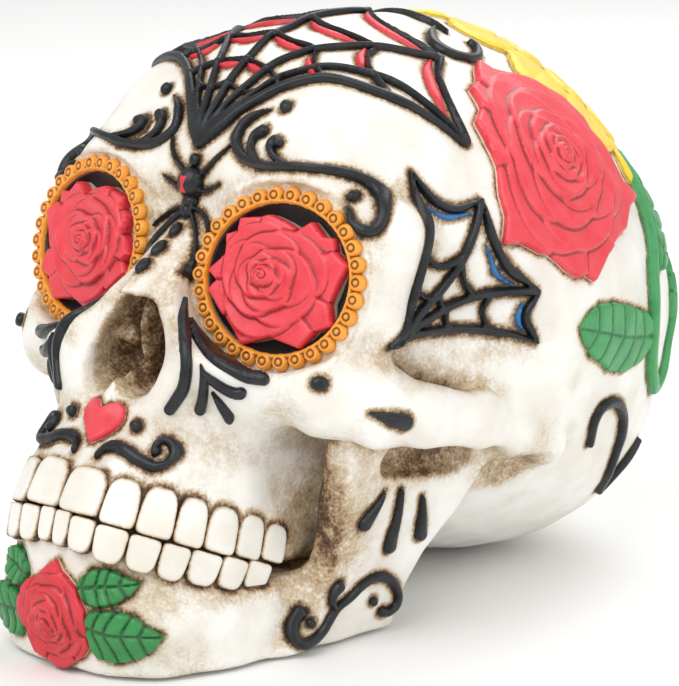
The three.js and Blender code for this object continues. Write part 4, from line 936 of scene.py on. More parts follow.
@dataclass
class Bone:
    """The bare bone: its meshes, and the drawing seats that carry reliefs onto them."""

    form: BoneForm = field(default_factory=BoneForm)
    unevenness: float = 0.16
    lump_size: float = 13.0
    pull: float = 0.6
    nose_box: tuple[Point, Point] = ((-14, 24, 58), (14, 56, 94))
    # How the wash and painted shade are laid: by how hidden a point is, round the feet of reliefs and at
    # the necks of teeth, up to a most
    hollow_wash_and_shade_reaches: tuple[Point, ...] = ((1.0, 0.2), (2.5, 0.2), (6.0, 0.18), (12.0, 0.1))
    halo_wash_and_shade_width: float = 0.8
    neck_wash_and_shade_width: float = 1.0
    most_wash_and_shade: float = 1.6
    shells: dict[str, Shell] = field(default_factory=dict)
    normals: dict[str, Array] = field(default_factory=dict)
    tree: BVHTree | None = None
    corners: Array | None = None
    corner_normals: Array | None = None

    def shape(self) -> None:
        """Builds the meshes of skull and jaw."""
        boxes = {
            "skull_casting": (self.form.skull, self.form.whole_skull, (0, -6, -3), (70, 190, 148)),
            "lower_jaw": (self.form.jaw, self.form.jaw, (0, -8, -3), (58, 102, 64)),
        }
        for name, (half, whole, low, high) in boxes.items():
            values, origin = sampled(half, low, high, BONE_PITCH)
            values = np.concatenate([values[:0:-1], values])
            origin[0] = -(len(values) // 2) * BONE_PITCH
            if whole != half:
                values = self.with_nose(values, origin)
            shell = surface_net(values, origin, BONE_PITCH)
            points = relaxed(shell.points, shell.quads, 2)
            normals = normals_of(whole, points)
            points = points - normals * np.clip(whole(*points.T), -self.pull, self.pull)[:, None]
            points += normals * (self.unevenness * lumps(points, self.lump_size, SEED))[:, None]
            points[:, 2] = np.maximum(points[:, 2], BASE_LEVEL)
            self.shells[name] = Shell(points, shell.quads)
            self.normals[name] = normals
            LOG.info("%s: %d points of bare bone", name, len(points))
        both = Shell.joined(list(self.shells.values()))
        normals = np.concatenate(list(self.normals.values()))
        self.tree = BVHTree.FromPolygons(both.points.tolist(), both.quads.tolist())
        self.corners = both.points[both.quads]
        self.corner_normals = relaxed(normals, both.quads, 6)[both.quads]

    def with_nose(self, values: Array, origin: Array) -> Array:
        """Adds the thin bones inside the nose to the sampled skull."""
        low = np.floor((np.array(self.nose_box[0]) - origin) / BONE_PITCH).astype(int)
        high = np.ceil((np.array(self.nose_box[1]) - origin) / BONE_PITCH).astype(int)
        lines = [origin[axis] + BONE_PITCH * np.arange(low[axis], high[axis]) for axis in range(3)]
        part = tuple(slice(low[axis], high[axis]) for axis in range(3))
        inside = self.form.nose_inside(*np.meshgrid(*lines, indexing="ij"))
        values[part] = soft_min(values[part], inside, 2)
        return values

    def seat(self, aim: Point, azimuth: float, elevation: float) -> Seat:
        """Makes a drawing plane in front of the bone.

        Args:
            aim: The point that the plane's origin looks at.
            azimuth: Where the plane stands round the skull, in degrees; 0 is in front.
            elevation: How far it looks down, in degrees.

        Returns:
            A function that carries points drawn on the plane onto the bone, with the normals there.
        """
        out = way_out(azimuth, elevation)
        right = np.array([*turned(azimuth), 0.0])
        up = np.cross(out, right)
        far = 200.0

        def carried(u: Array, v: Array) -> tuple[Array, Array]:
            starts = np.array(aim, float) + u[:, None] * right + v[:, None] * up + far * out
            return self.cast(starts, -out, far)

        return carried

    def cast(self, starts: Array, inward: Array, reach: float) -> tuple[Array, Array]:
        """Casts parallel lines at the bone.

        Args:
            starts: Where the lines start.
            inward: Their direction.
            reach: How far off the aim they start.

        Returns:
            The points of the bone that they meet, or pass nearest to, and the normals there.
        """
        spots, faces = np.empty_like(starts), np.empty(len(starts), int)
        direction = Vector(inward)
        missed = []
        for number, start in enumerate(starts):
            hit, _, face, _ = self.tree.ray_cast(Vector(start), direction)
            if hit is None:
                missed.append(number)
                continue
            spots[number], faces[number] = hit, face
        if missed:
            steps = np.arange(0.0, 2 * reach, 2.0)
            lines = starts[missed][:, None] + steps[None, :, None] * inward
            distances = self.form.both(*lines.reshape(-1, 3).T).reshape(len(missed), -1)
            for number, line, step in zip(missed, lines, distances.argmin(1)):
                hit, _, face, _ = self.tree.find_nearest(Vector(line[step]))
                spots[number], faces[number] = hit, face
        away = ((self.corners[faces] - spots[:, None]) ** 2).sum(2)
        normals = (self.corner_normals[faces] / (away + 0.02)[..., None]).sum(1)
        return spots, normals / np.linalg.norm(normals, axis=1, keepdims=True)

    def inside_nose(self, points: Array) -> Array:
        """Gives the wash and painted shade inside the nose, which start behind the slanted rim of its
        opening.
        """
        across, back, up = np.abs(points[:, 0]), points[:, 1], points[:, 2]
        depth = back - (0.57 * across + 0.267 * up - 2.9)
        within = (outline_distance(across, up, self.form.nose_outline) < 1.0) & (back < 60)
        return within * (0.3 * np.clip(depth - 0.6, 0, 1) + 0.42 * np.clip((depth - 1) / 12, 0, 1))

    def wash_and_shade(self, reliefs: Iterable[Shell], teeth: Iterable[Shell]) -> None:
        """Marks how much brown wash and painted shade each point of the bone gets.

        Args:
            reliefs: Shells whose feet gather wash and painted shade.
            teeth: Shells of teeth, whose necks gather more.
        """
        feet = kd_tree(np.concatenate([shell.points[shell.marks["foot"] > 0.5] for shell in reliefs]))
        necks = kd_tree(np.concatenate([shell.points for shell in teeth]))
        for name, shell in self.shells.items():
            points, normals = shell.points, self.normals[name]
            # Painted shade with the wash in hollows: a point with less open room ahead of it gets more
            hollow_wash_and_shade = np.zeros(len(points))
            for reach, weight in self.hollow_wash_and_shade_reaches:
                ahead = points + normals * reach
                hollow_wash_and_shade += weight * np.clip(1 - self.form.both(*ahead.T) / reach, 0, 1)
            near_feet = nearest(feet, points)
            near_necks = nearest(necks, points)
            aside = np.sqrt(np.maximum(near_feet ** 2 - ROOT ** 2, 0))
            # Wash and painted shade round the feet of reliefs and at the necks of teeth
            halo_wash_and_shade = 0.8 * np.exp(-(aside / self.halo_wash_and_shade_width) ** 2) + 0.06 * np.exp(-aside / 2)
            gum = 0.9 * np.exp(-(near_necks / self.neck_wash_and_shade_width) ** 2) + 0.06 * np.exp(-near_necks / 4)
            # Patches of wash and painted shade, and the painted shade inside the nose
            zones = sum(zone.strength_at(points) for zone in WASH_AND_SHADE_ZONES)
            nose = self.inside_nose(points)
            hollow_wash_and_shade = hollow_wash_and_shade * (1 - 0.7 * np.clip(nose * 3, 0, 1))
            shell.marks["wash_and_shade"] = np.clip(hollow_wash_and_shade + halo_wash_and_shade + gum + zones + nose, 0, self.most_wash_and_shade)


def kd_tree(points: Array) -> KDTree:
    """Makes a search tree of points."""
    tree = KDTree(len(points))
    for number, point in enumerate(points):
        tree.insert(Vector(point), number)
    tree.balance()
    return tree


def nearest(tree: KDTree, points: Array) -> Array:
    """Gives how far each point is from the nearest point of a tree."""
    return np.array([tree.find(point)[2] for point in points.tolist()])


@dataclass(frozen=True)
class WashAndShadeZone:
    """A soft patch of stronger wash and painted shade on both sides of the skull."""

    centre: Point
    radii: Point
    strength: float

    def strength_at(self, points: Array) -> Array:
        """Gives the strength of the patch at points."""
        squares = [
            (((points * (side, 1, 1) - self.centre) / self.radii) ** 2).sum(1)
            for side in (1, -1)
        ]
        return self.strength * np.exp(-np.minimum(*squares))


# Patches where shade falls, painted darker along with the wash
WASH_AND_SHADE_ZONES = (
    WashAndShadeZone((40, 44, 36), (7, 14, 17), 0.95),   # the groove behind the molars
    WashAndShadeZone((50, 72, 45), (6, 13, 5), 0.9),     # the hollow under the cheek arch
    WashAndShadeZone((62, 76, 70), (8, 20, 6), 0.2),     # the temple over the cheek arch
    WashAndShadeZone((50, 66, 100), (10, 5, 16), 0.1),   # the temple line
    WashAndShadeZone((57, 97, 36), (8, 8, 6), 0.8),      # the hollow under the ear
    WashAndShadeZone((62, 98, 34), (9, 9, 14), 0.2),     # behind the jaw
    WashAndShadeZone((10, 46, 96), (7, 9, 8), 0.12),     # beside the bridge of the nose
)


# Drawing on squares in front of the bone

@dataclass
class Grid:
    """A square grid in a drawing plane."""

    u: Array
    v: Array
    pitch: float

    @classmethod
    def over(cls, points: Sequence[Point], pitch: float, margin: float = 3.0) -> "Grid":
        """Makes a grid that covers points.

        Args:
            points: Points in the plane.
            pitch: The grid's step.
            margin: The room round the points.

        Returns:
            The grid.
        """
        spots = np.array(points, float)
        low, high = spots.min(0) - margin, spots.max(0) + margin
        lines = [np.arange(low[axis], high[axis] + pitch, pitch) for axis in (0, 1)]
        u, v = np.meshgrid(*lines, indexing="ij")
        return cls(u, v, pitch)

    def read(self, values: Array, u: Array, v: Array) -> Array:
        """Reads numbers of the grid at places between its points.

        Args:
            values: A number per grid point.
            u: How far right the places lie.
            v: How far up they lie.

        Returns:
            The number at each place.
        """
        i = np.clip((u - self.u[0, 0]) / self.pitch, 0, values.shape[0] - 1.001)
        j = np.clip((v - self.v[0, 0]) / self.pitch, 0, values.shape[1] - 1.001)
        a, b = i.astype(int), j.astype(int)
        s, t = i - a, j - b
        near = values[a, b] * (1 - s) + values[a + 1, b] * s
        return near * (1 - t) + (values[a, b + 1] * (1 - s) + values[a + 1, b + 1] * s) * t


@dataclass(frozen=True)
class Stroke:
    """A brushed line through points, with half widths that are spread evenly along it."""

    points: tuple[Point, ...]
    widths: tuple[float, ...]

    def line(self, step: float = 0.6) -> tuple[Array, Array]:
        """Gives the smooth line as points and half widths."""
        knots = np.array(self.points, float)
        padded = np.concatenate([[2 * knots[0] - knots[1]], knots, [2 * knots[-1] - knots[-2]]])
        spots = []
        for a, b, c, d in zip(padded, padded[1:], padded[2:], padded[3:]):
            count = max(2, int(np.linalg.norm(c - b) / step))
            t = np.linspace(0, 1, count, endpoint=False)[:, None]
            spots.append(0.5 * (2 * b + (c - a) * t + (2 * a - 5 * b + 4 * c - d) * t ** 2
                                + (3 * b - a - 3 * c + d) * t ** 3))
        line = np.concatenate([*spots, knots[-1:]])
        run = np.concatenate([[0], np.cumsum(np.linalg.norm(np.diff(line, axis=0), axis=1))])
        widths = np.interp(run / run[-1], np.linspace(0, 1, len(self.widths)), self.widths)
        return line, widths

    def mirrored(self) -> "Stroke":
        """Returns the stroke on the other side of the drawing's upright line."""
        return Stroke(tuple((-u, v) for u, v in self.points), self.widths)


def inked(grid: Grid, strokes: Iterable[Stroke], blank: float = -2.5) -> Array:
    """Gives how deep each grid point lies inside strokes, which is negative outside them."""
    inside = np.full(grid.u.shape, blank)
    low = np.array([grid.u[0, 0], grid.v[0, 0]])
    for stroke in strokes:
        line, widths = stroke.line()
        for a, b, wide_a, wide_b in zip(line, line[1:], widths, widths[1:]):
            reach = max(wide_a, wide_b) - blank
            first = np.maximum(((np.minimum(a, b) - reach - low) / grid.pitch).astype(int), 0)
            last = ((np.maximum(a, b) + reach - low) / grid.pitch).astype(int) + 2
            part = slice(first[0], last[0]), slice(first[1], last[1])
            du, dv = grid.u[part] - a[0], grid.v[part] - a[1]
            eu, ev = b - a
            along = np.clip((du * eu + dv * ev) / (eu * eu + ev * ev + 1e-12), 0, 1)
            away = np.sqrt((du - eu * along) ** 2 + (dv - ev * along) ** 2)
            inside[part] = np.maximum(inside[part], wide_a + (wide_b - wide_a) * along - away)
    return inside


def rounded(inside: Array, edge: float) -> Array:
    """Gives a round shoulder that rises from 0 to 1 over the width of an edge."""
    share = np.clip(inside / edge, 0, 1)
    return np.sqrt(1 - (1 - share) ** 2)


def smoothed(values: Array, turns: int) -> Array:
    """Blurs numbers on a grid a few times."""
    for _ in range(turns):
        padded = np.pad(values, 1, mode="edge")
        values = (padded[:-2, 1:-1] + padded[2:, 1:-1] + padded[1:-1, :-2] + padded[1:-1, 2:]
                  + 4 * values) / 8
    return values


def crease_shade_of(height: Array, turns: int, depth: float) -> Array:
    """Finds creases, which get painted shade: 1 where a height lies a depth under its blurred self, and 0
    where it doesn't.
    """
    return np.clip((smoothed(height, turns) - height) / depth, 0, 1)


def eased(share: Array) -> Array:
    """Turns a share into one that starts and ends level."""
    return share * share * (3 - 2 * share)


def traced(outline: Sequence[Point], pitch: float, margin: float) -> tuple[Grid, Array]:
    """Gives a grid over an outline, and how deep each of its points lies inside."""
    grid = Grid.over(outline, pitch, margin)
    return grid, -outline_distance(grid.u, grid.v, outline)


def settled(grid: Grid, inside: Array, border: Array) -> tuple[Array, Array]:
    """Moves the border points of a drawing onto its outline.

    Args:
        grid: The drawing's grid.
        inside: How deep each grid point lies inside the outline.
        border: Which grid points lie on the border of the mesh.

    Returns:
        The places of all the grid points.
    """
    slopes = np.gradient(inside, grid.pitch)
    u, v = grid.u[border], grid.v[border]
    for _ in range(3):
        slope_u, slope_v = (grid.read(slope, u, v) for slope in slopes)
        move = -grid.read(inside, u, v) / (slope_u ** 2 + slope_v ** 2 + 0.05)
        u = np.clip(u + move * slope_u, grid.u[border] - grid.pitch, grid.u[border] + grid.pitch)
        v = np.clip(v + move * slope_v, grid.v[border] - grid.pitch, grid.v[border] + grid.pitch)
    places = grid.u.copy(), grid.v.copy()
    places[0][border], places[1][border] = u, v
    return places


def relief(seat: Seat, grid: Grid, inside: Array, height: Array, lip: Array | float = 0.45,
           crease_shade: Array | None = None, root: Array | float = ROOT) -> Shell:
    """Turns a drawing into a closed relief on the bone.

    Args:
        seat: The seat that carries the drawing.
        grid: The drawing's grid.
        inside: How deep each grid point lies inside the outline.
        height: How high the relief stands at each grid point.
        lip: How high its side walls are.
        crease_shade: How dark the painted shade in the creases is, or None to find it from the height.
        root: How deep it is let in.

    Returns:
        The closed shell, with marks for the painted shade in its creases and for its foot.
    """
    mean = (inside[:-1, :-1] + inside[1:, :-1] + inside[:-1, 1:] + inside[1:, 1:]) / 4
    cells = np.pad(mean > -0.1 * grid.pitch, 1)
    # Where two cells meet only at their corners the mesh would tear, so one more cell joins them
    slant = cells[:-1, :-1] & cells[1:, 1:] & ~cells[1:, :-1] & ~cells[:-1, 1:]
    cells[1:, :-1] |= slant
    slant = ~cells[:-1, :-1] & ~cells[1:, 1:] & cells[1:, :-1] & cells[:-1, 1:]
    cells[:-1, :-1] |= slant
    cells[0], cells[-1], cells[:, 0], cells[:, -1] = False, False, False, False
    touching = cells[:-1, :-1].astype(int) + cells[1:, :-1] + cells[:-1, 1:] + cells[1:, 1:]
    border = (touching > 0) & (touching < 4)
    u, v = settled(grid, inside, border)
    high = np.where(border, lip, np.maximum(height, lip))
    # Painted shade goes where the relief lies lower than its blurred self
    if crease_shade is None:
        open_height = np.where(inside > 0, np.maximum(height, lip), lip)
        crease_shade = crease_shade_of(open_height, 10, 0.35)
    crease_shade = np.where(border, grid.read(smoothed(crease_shade, 3), u, v), crease_shade)
    used = touching > 0
    index = -np.ones(used.shape, int)
    index[used] = np.arange(used.sum())
    count = int(used.sum())
    bare, out = seat(u[used], v[used])
    i, j = np.nonzero(cells[1:-1, 1:-1])
    ring = [index[i, j], index[i + 1, j], index[i + 1, j + 1], index[i, j + 1]]
    top = np.stack(ring, 1)
    walls = []
    sides = (((0, -1), 0, 1), ((1, 0), 1, 2), ((0, 1), 2, 3), ((-1, 0), 3, 0))
    for (di, dj), first, second in sides:
        free = ~cells[i + 1 + di, j + 1 + dj]
        a, b = ring[first][free], ring[second][free]
        walls.append(np.stack([b, a, a + count, b + count], 1))
    quads = np.concatenate([top, top[:, ::-1] + count, *walls])
    marks = {
        "crease_shade": np.concatenate([crease_shade[used], np.zeros(count)]),
        "foot": np.concatenate([np.zeros(count), np.ones(count)]),
    }
    deep = np.broadcast_to(root, used.shape)[used][:, None]
    points = np.concatenate([bare + out * high[used][:, None], bare - out * deep])
    points[:, 2] = np.maximum(points[:, 2], TABLE_GAP)
    return Shell(points, quads, marks=marks)


def brushed(seat: Seat, strokes: Sequence[Stroke], height: float, edge: float, pitch: float = 0.4,
            lip: float = 0.4) -> Shell:
    """Draws strokes as one rounded relief.

    Args:
        seat: The seat that carries them.
        strokes: The strokes.
        height: How high they stand.
        edge: The width of their round shoulders.
        pitch: The step of the mesh.
        lip: How high their side walls are.

    Returns:
        The closed shell.
    """
    grid = Grid.over([point for stroke in strokes for point in stroke.points], pitch,
                     1.5 + max(max(stroke.widths) for stroke in strokes))
    inside = inked(grid, strokes)
    return relief(seat, grid, inside, lip + (height - lip) * rounded(inside, edge), lip)


# Flowers and leaves

@dataclass(frozen=True)
class Bloom:
    """A carved rose: pointed outer petals, then lapping petals that wind in to a bud."""

    centre: Point
    outline: tuple[Point, ...]
    height: float
    petals: int = 20
    bud: float = 0.16
    edge: float = 0.8
    start: float = 0.0
    seed: int = SEED

    def polar(self, grid: Grid) -> tuple[Array, Array, float]:
        """Gives each point's angle and share of the smoothed outline's reach, and the mean reach."""
        spots = np.array(self.outline) - self.centre
        angles = np.arctan2(spots[:, 1], spots[:, 0])
        order = np.argsort(angles)
        steps, kept_waves = 180, 4
        even = np.linspace(-math.pi, math.pi, steps + 1)[:-1]
        reach = np.interp(even, angles[order], np.hypot(*spots[order].T), period=2 * math.pi)
        waves = np.fft.rfft(reach)
        waves[kept_waves:] = 0
        smooth = np.fft.irfft(waves, steps)
        du, dv = grid.u - self.centre[0], grid.v - self.centre[1]
        angle = np.arctan2(dv, du)
        share = np.hypot(du, dv) / np.interp(angle, even, smooth, period=2 * math.pi)
        return angle, share, float(smooth.mean())

    def notches(self) -> list[float]:
        """Gives the angles of the outline's inward corners, where the outer petals meet."""
        spots = np.array(self.outline) - self.centre
        away = np.hypot(*spots.T)
        low = (away < np.roll(away, 1)) & (away < np.roll(away, -1))
        return sorted(np.arctan2(spots[low, 1], spots[low, 0]).tolist())

    def drawn(self, grid: Grid, inside: Array) -> Array:
        """Draws the flower.

        Args:
            grid: The drawing's grid.
            inside: How deep each grid point lies inside the outline.

        Returns:
            How high the flower stands at each grid point.
        """
        random = np.random.default_rng(self.seed)
        angle, share, mean = self.polar(grid)
        height = np.full(grid.u.shape, 0.3)
        notches = self.notches()
        for first, last in zip(notches, [*notches[1:], notches[0] + 2 * math.pi]):
            half = (last - first) / 2
            aside = ((angle - first - half + math.pi) % (2 * math.pi) - math.pi) / half
            petal = 0.30 + 0.12 * share + 0.07 * aside - 0.16 * np.clip(np.abs(aside) - 0.72, 0, 1)
            height = np.where(np.abs(aside) < 1, petal, height)
        golden, half = math.radians(137.5), math.radians(64)
        for number in range(self.petals):
            inward = (number / (self.petals - 1)) ** 1.25
            reach = 0.97 * (self.bud * 1.2) ** inward * random.uniform(0.97, 1.03)
            middle = self.start + number * golden + random.uniform(-0.12, 0.12)
            aside = ((angle - middle + math.pi) % (2 * math.pi) - math.pi) / half
            bend = 0.22 * np.abs(aside) ** 2.4 + 0.05 * np.abs(aside)
            tip = reach * (1 - bend) * (1 + 0.02 * np.sin(4 * aside + random.uniform(0, 6)))
            lip = np.clip(share / tip, 0, 1)
            cupped = 0.32 + 0.50 * (1 - reach) + 0.20 * lip ** 4 + 0.04 * aside
            over = np.clip((tip - share) * mean / self.edge, 0, 1)
            over = np.where(np.abs(aside) < 1, eased(over), 0)
            height = height + (cupped - height) * over
        turns = share / (0.42 * self.bud) - angle / (2 * math.pi)
        coil = turns % 1
        over = np.clip((self.bud - share) * mean / (0.6 * self.edge), 0, 1)
        height = height + (0.86 + 0.14 * np.sin(math.pi * coil) ** 0.6 - height) * over
        return self.height * height * (0.75 + 0.25 * rounded(inside, 0.9))

    def shell(self, seat: Seat, pitch: float, lip: float = 0.7, root: float = ROOT) -> Shell:
        """Builds the flower on a seat."""
        grid, inside = traced(self.outline, pitch, 1.5)
        height = smoothed(self.drawn(grid, inside), 1)
        # Painted shade in the creases between the petals
        return relief(seat, grid, inside, height, lip, crease_shade_of(height, 7, 0.14), root)


@dataclass(frozen=True)
class PetalRing:
    """A ring of round petals: how many, how far they reach and how high they stand, as shares."""

    count: int
    reach: float
    lift: float
    turn: float = 0.0


@dataclass(frozen=True)
class Daisy:
    """A carved flower of flat rings of petals round a raised middle."""

    across: float
    up: float
    height: float
    scallop: float
    rings: tuple[PetalRing, ...]
    middle: float = 0.17

    def shell(self, seat: Seat, pitch: float) -> Shell:
        """Builds the flower on a seat.

        Args:
            seat: The seat that carries it.
            pitch: The step of its mesh.

        Returns:
            The closed shell.
        """
        grid = Grid.over(ellipse((0, 0), self.across, self.up), pitch, 1.5)
        angle = np.arctan2(grid.v / self.up, grid.u / self.across)
        share = np.hypot(grid.u / self.across, grid.v / self.up)
        height = np.full(grid.u.shape, 0.2)
        tip = np.ones(grid.u.shape)
        for ring in self.rings:
            turn = (angle / (2 * math.pi) * ring.count + ring.turn) % 1
            aside = np.abs(2 * turn - 1)
            edge = ring.reach * (1 - self.scallop * aside ** 2.2)
            if ring is self.rings[0]:
                tip = edge
            lip = np.clip(share / edge, 0, 1)
            cupped = ring.lift + 0.24 * lip ** 2 - 0.16 * np.clip(aside - 0.75, 0, 1) / 0.25
            vein = np.exp(-((turn - 0.5) / 0.05) ** 2) * np.clip(lip - 0.35, 0, 1)
            over = np.clip((edge - share) * self.across, 0, 1)
            height = height + (cupped - 0.16 * vein - height) * eased(over)
        over = np.clip((self.middle - share) * self.across / 1.2, 0, 1)
        dome_ = np.sqrt(np.clip(1 - (share / self.middle) ** 2, 0, 1))
        height = height + (0.7 + 0.3 * dome_ - height) * over
        inside = (tip - share) * (self.across + self.up) / 2
        height = smoothed(self.height * height * (0.5 + 0.5 * rounded(inside, 1.2)), 1)
        # Painted shade in the creases between the petals
        return relief(seat, grid, inside, height, 0.8, crease_shade_of(height, 7, 0.2))


@dataclass(frozen=True)
class Leaf:
    """A leaf with a creased middle and quilted fields between its veins."""

    middle: tuple[Point, ...]
    outline: tuple[Point, ...]
    height: float = 1.9
    veins: int = 5

    def shell(self, seat: Seat, pitch: float = 0.35) -> Shell:
        """Builds the leaf on a seat.

        Args:
            seat: The seat that carries it.
            pitch: The step of its mesh.

        Returns:
            The closed shell.
        """
        grid, inside = traced(self.outline, pitch, 1.5)
        line, _ = Stroke(self.middle, (0.2, 0.2)).line(0.4)
        along = np.gradient(line, axis=0)
        along /= np.linalg.norm(along, axis=1, keepdims=True)
        ribs = [Stroke(self.middle, (0.28, 0.12))]
        width = 2.2 * float(inside.max())
        for number in range(1, self.veins + 1):
            at = int(len(line) * (number / (self.veins + 1)) ** 1.1)
            for side in (1, -1):
                normal = side * np.array([-along[at][1], along[at][0]])
                tips = [
                    line[at] + width * (0.45 * along[at] * s ** 1.4 + 0.85 * normal * s)
                    for s in (0, 0.5, 1)
                ]
                ribs.append(Stroke(tuple(map(tuple, tips)), (0.16, 0.05)))
        veins = inked(grid, ribs)
        sunk = np.exp(-(np.minimum(veins, 0) / 0.38) ** 2)
        quilt = rounded(np.minimum(-veins, 1.3), 1.3)
        height = self.height * (0.5 + 0.5 * rounded(inside, 1.1)) * (0.62 + 0.38 * quilt)
        # Painted shade in the sunk veins and along the leaf's edge
        creases = np.clip(0.62 * sunk + 0.3 * (1 - np.clip(inside / 0.8, 0, 1)), 0, 1)
        return relief(seat, grid, inside, height, 0.5, creases)


def ellipse(centre: Point, across: float, up: float, count: int = 40) -> tuple[Point, ...]:
    """Gives the outline of an ellipse."""
    angles = 2 * math.pi * np.arange(count) / count
    return tuple((centre[0] + across * math.cos(a), centre[1] + up * math.sin(a)) for a in angles)


def dome(seat: Seat, centre: Point, radius: float, height: float) -> Shell:
    """Makes a round dot of paint on a seat."""
    grid, inside = traced(ellipse(centre, radius, radius), min(PAINT_PITCH, radius / 5), 1.0)
    lip = 0.35
    crown = lip + (1 - lip) * rounded(inside, 0.8 * radius)
    return relief(seat, grid, inside, height * crown, lip * height)


# Sub-assemblies

@dataclass
class EyePieces:
    """A beaded ring, a dark cup and a rose for each eye socket."""

    squash: float = EYE.height / EYE.width
    opening: float = 18.8
    roll_end: float = 20.0
    band_end: float = 21.5
    roll_height: float = 1.9
    band_height: float = 1.2
    bead_count: int = 30
    bead_radius: float = 2.1
    bead_run: float = 20.9
    bead_height: float = 2.3
    mark_radius: float = 0.85
    mark_width: float = 0.3
    mark_depth: float = 0.55
    cup_profile: tuple[Point, ...] = (
        (0.4, -3.2), (12, -3.0), (15.5, -2.4), (17.4, -1.2), (18.3, 0.2), (18.6, 0.6), (19.6, 0.6),
        (19.6, -1.2), (18.0, -2.6), (15, -4.6), (0.4, -5.2),
    )
    rose_outline: tuple[Point, ...] = (
        (-11.5, 14.4), (-5.9, 15.2), (-3.8, 15.9), (0.5, 14.6), (4.2, 12.9), (7.7, 15.3), (11.2, 12.0),
        (14.0, 12.0), (14.7, 8.9), (18.6, 6.0), (16.4, 0.9), (14.9, -3.5), (16.4, -8.7), (11.9, -10.6),
        (8.4, -15.0), (0, -13.3), (-7.3, -15.8), (-9.8, -12.7), (-12.9, -9.6), (-18.3, -3.8),
        (-16.4, -1), (-18.7, 0.9), (-14.3, 5.8), (-15, 10.1), (-11.9, 11.4),
    )

    def ring(self) -> Shell:
        """Builds the ring: a smooth inner roll and a row of beads, each with a ring mark."""
        grid = Grid.over([(-23.5, -22), (23.5, 22)], 0.25, 0.5)
        reach = np.hypot(grid.u, grid.v / self.squash)
        inside = np.minimum(self.band_end - reach, reach - self.opening)
        roll = rounded(np.minimum(self.roll_end - reach, reach - self.opening), 0.6)
        height = np.maximum(self.band_height * rounded(inside, 0.6), self.roll_height * roll)
        marks = np.zeros(grid.u.shape)
        for number in range(self.bead_count):
            angle = 2 * math.pi * (number + 0.3) / self.bead_count
            across, up = self.bead_run * math.cos(angle), self.bead_run * self.squash * math.sin(angle)
            away = np.hypot(grid.u - across, grid.v - up)
            inside = np.maximum(inside, self.bead_radius - away)
            ring_mark = np.exp(-((away - self.mark_radius) / self.mark_width) ** 2)
            bead = self.bead_height * rounded(self.bead_radius - away, 1.0) - self.mark_depth * ring_mark
            height = np.where(self.bead_radius > away, np.maximum(height, bead), height)
            height = np.where(away < 1.3, bead, height)
            # The sunk ring marks on the beads and the creases between them get painted shade
            marks = np.maximum(marks, 1.15 * ring_mark)
        creases = np.maximum(crease_shade_of(height, 9, 0.28), marks)
        return relief(EYE.seat, grid, inside, height, 0.5, creases, 1.5)

    def cup(self) -> Shell:
        """Builds the dark cup, with a flange that lies under the ring."""
        count = 96
        angles = 2 * math.pi * np.arange(count) / count
        rows = [
            EYE.place(r * np.cos(angles), self.squash * r * np.sin(angles), np.full(count, float(z)))
            for r, z in self.cup_profile
        ]
        bare = np.zeros(len(rows))
        return skin(rows, {"crease_shade": bare, "foot": bare})

    def rose(self) -> Shell:
        """Builds the rose, whose petals nearly touch the ring."""
        outline = tuple((0.985 * u, 0.97 * v - 0.9) for u, v in self.rose_outline)
        bloom = Bloom((-2.2, 0.4), outline, height=6.2, petals=21, bud=0.17, edge=0.8, start=2.2, seed=3)
        return bloom.shell(EYE.seat, 0.28, lip=0.9, root=4.2)

    def build(self) -> list[Piece]:
        """Builds the pieces of both eyes."""
        return [*pair("eye_ring", self.ring(), ORANGE), *pair("eye_cup", self.cup(), BLACK),
                *pair("eye_rose", self.rose(), CORAL)]


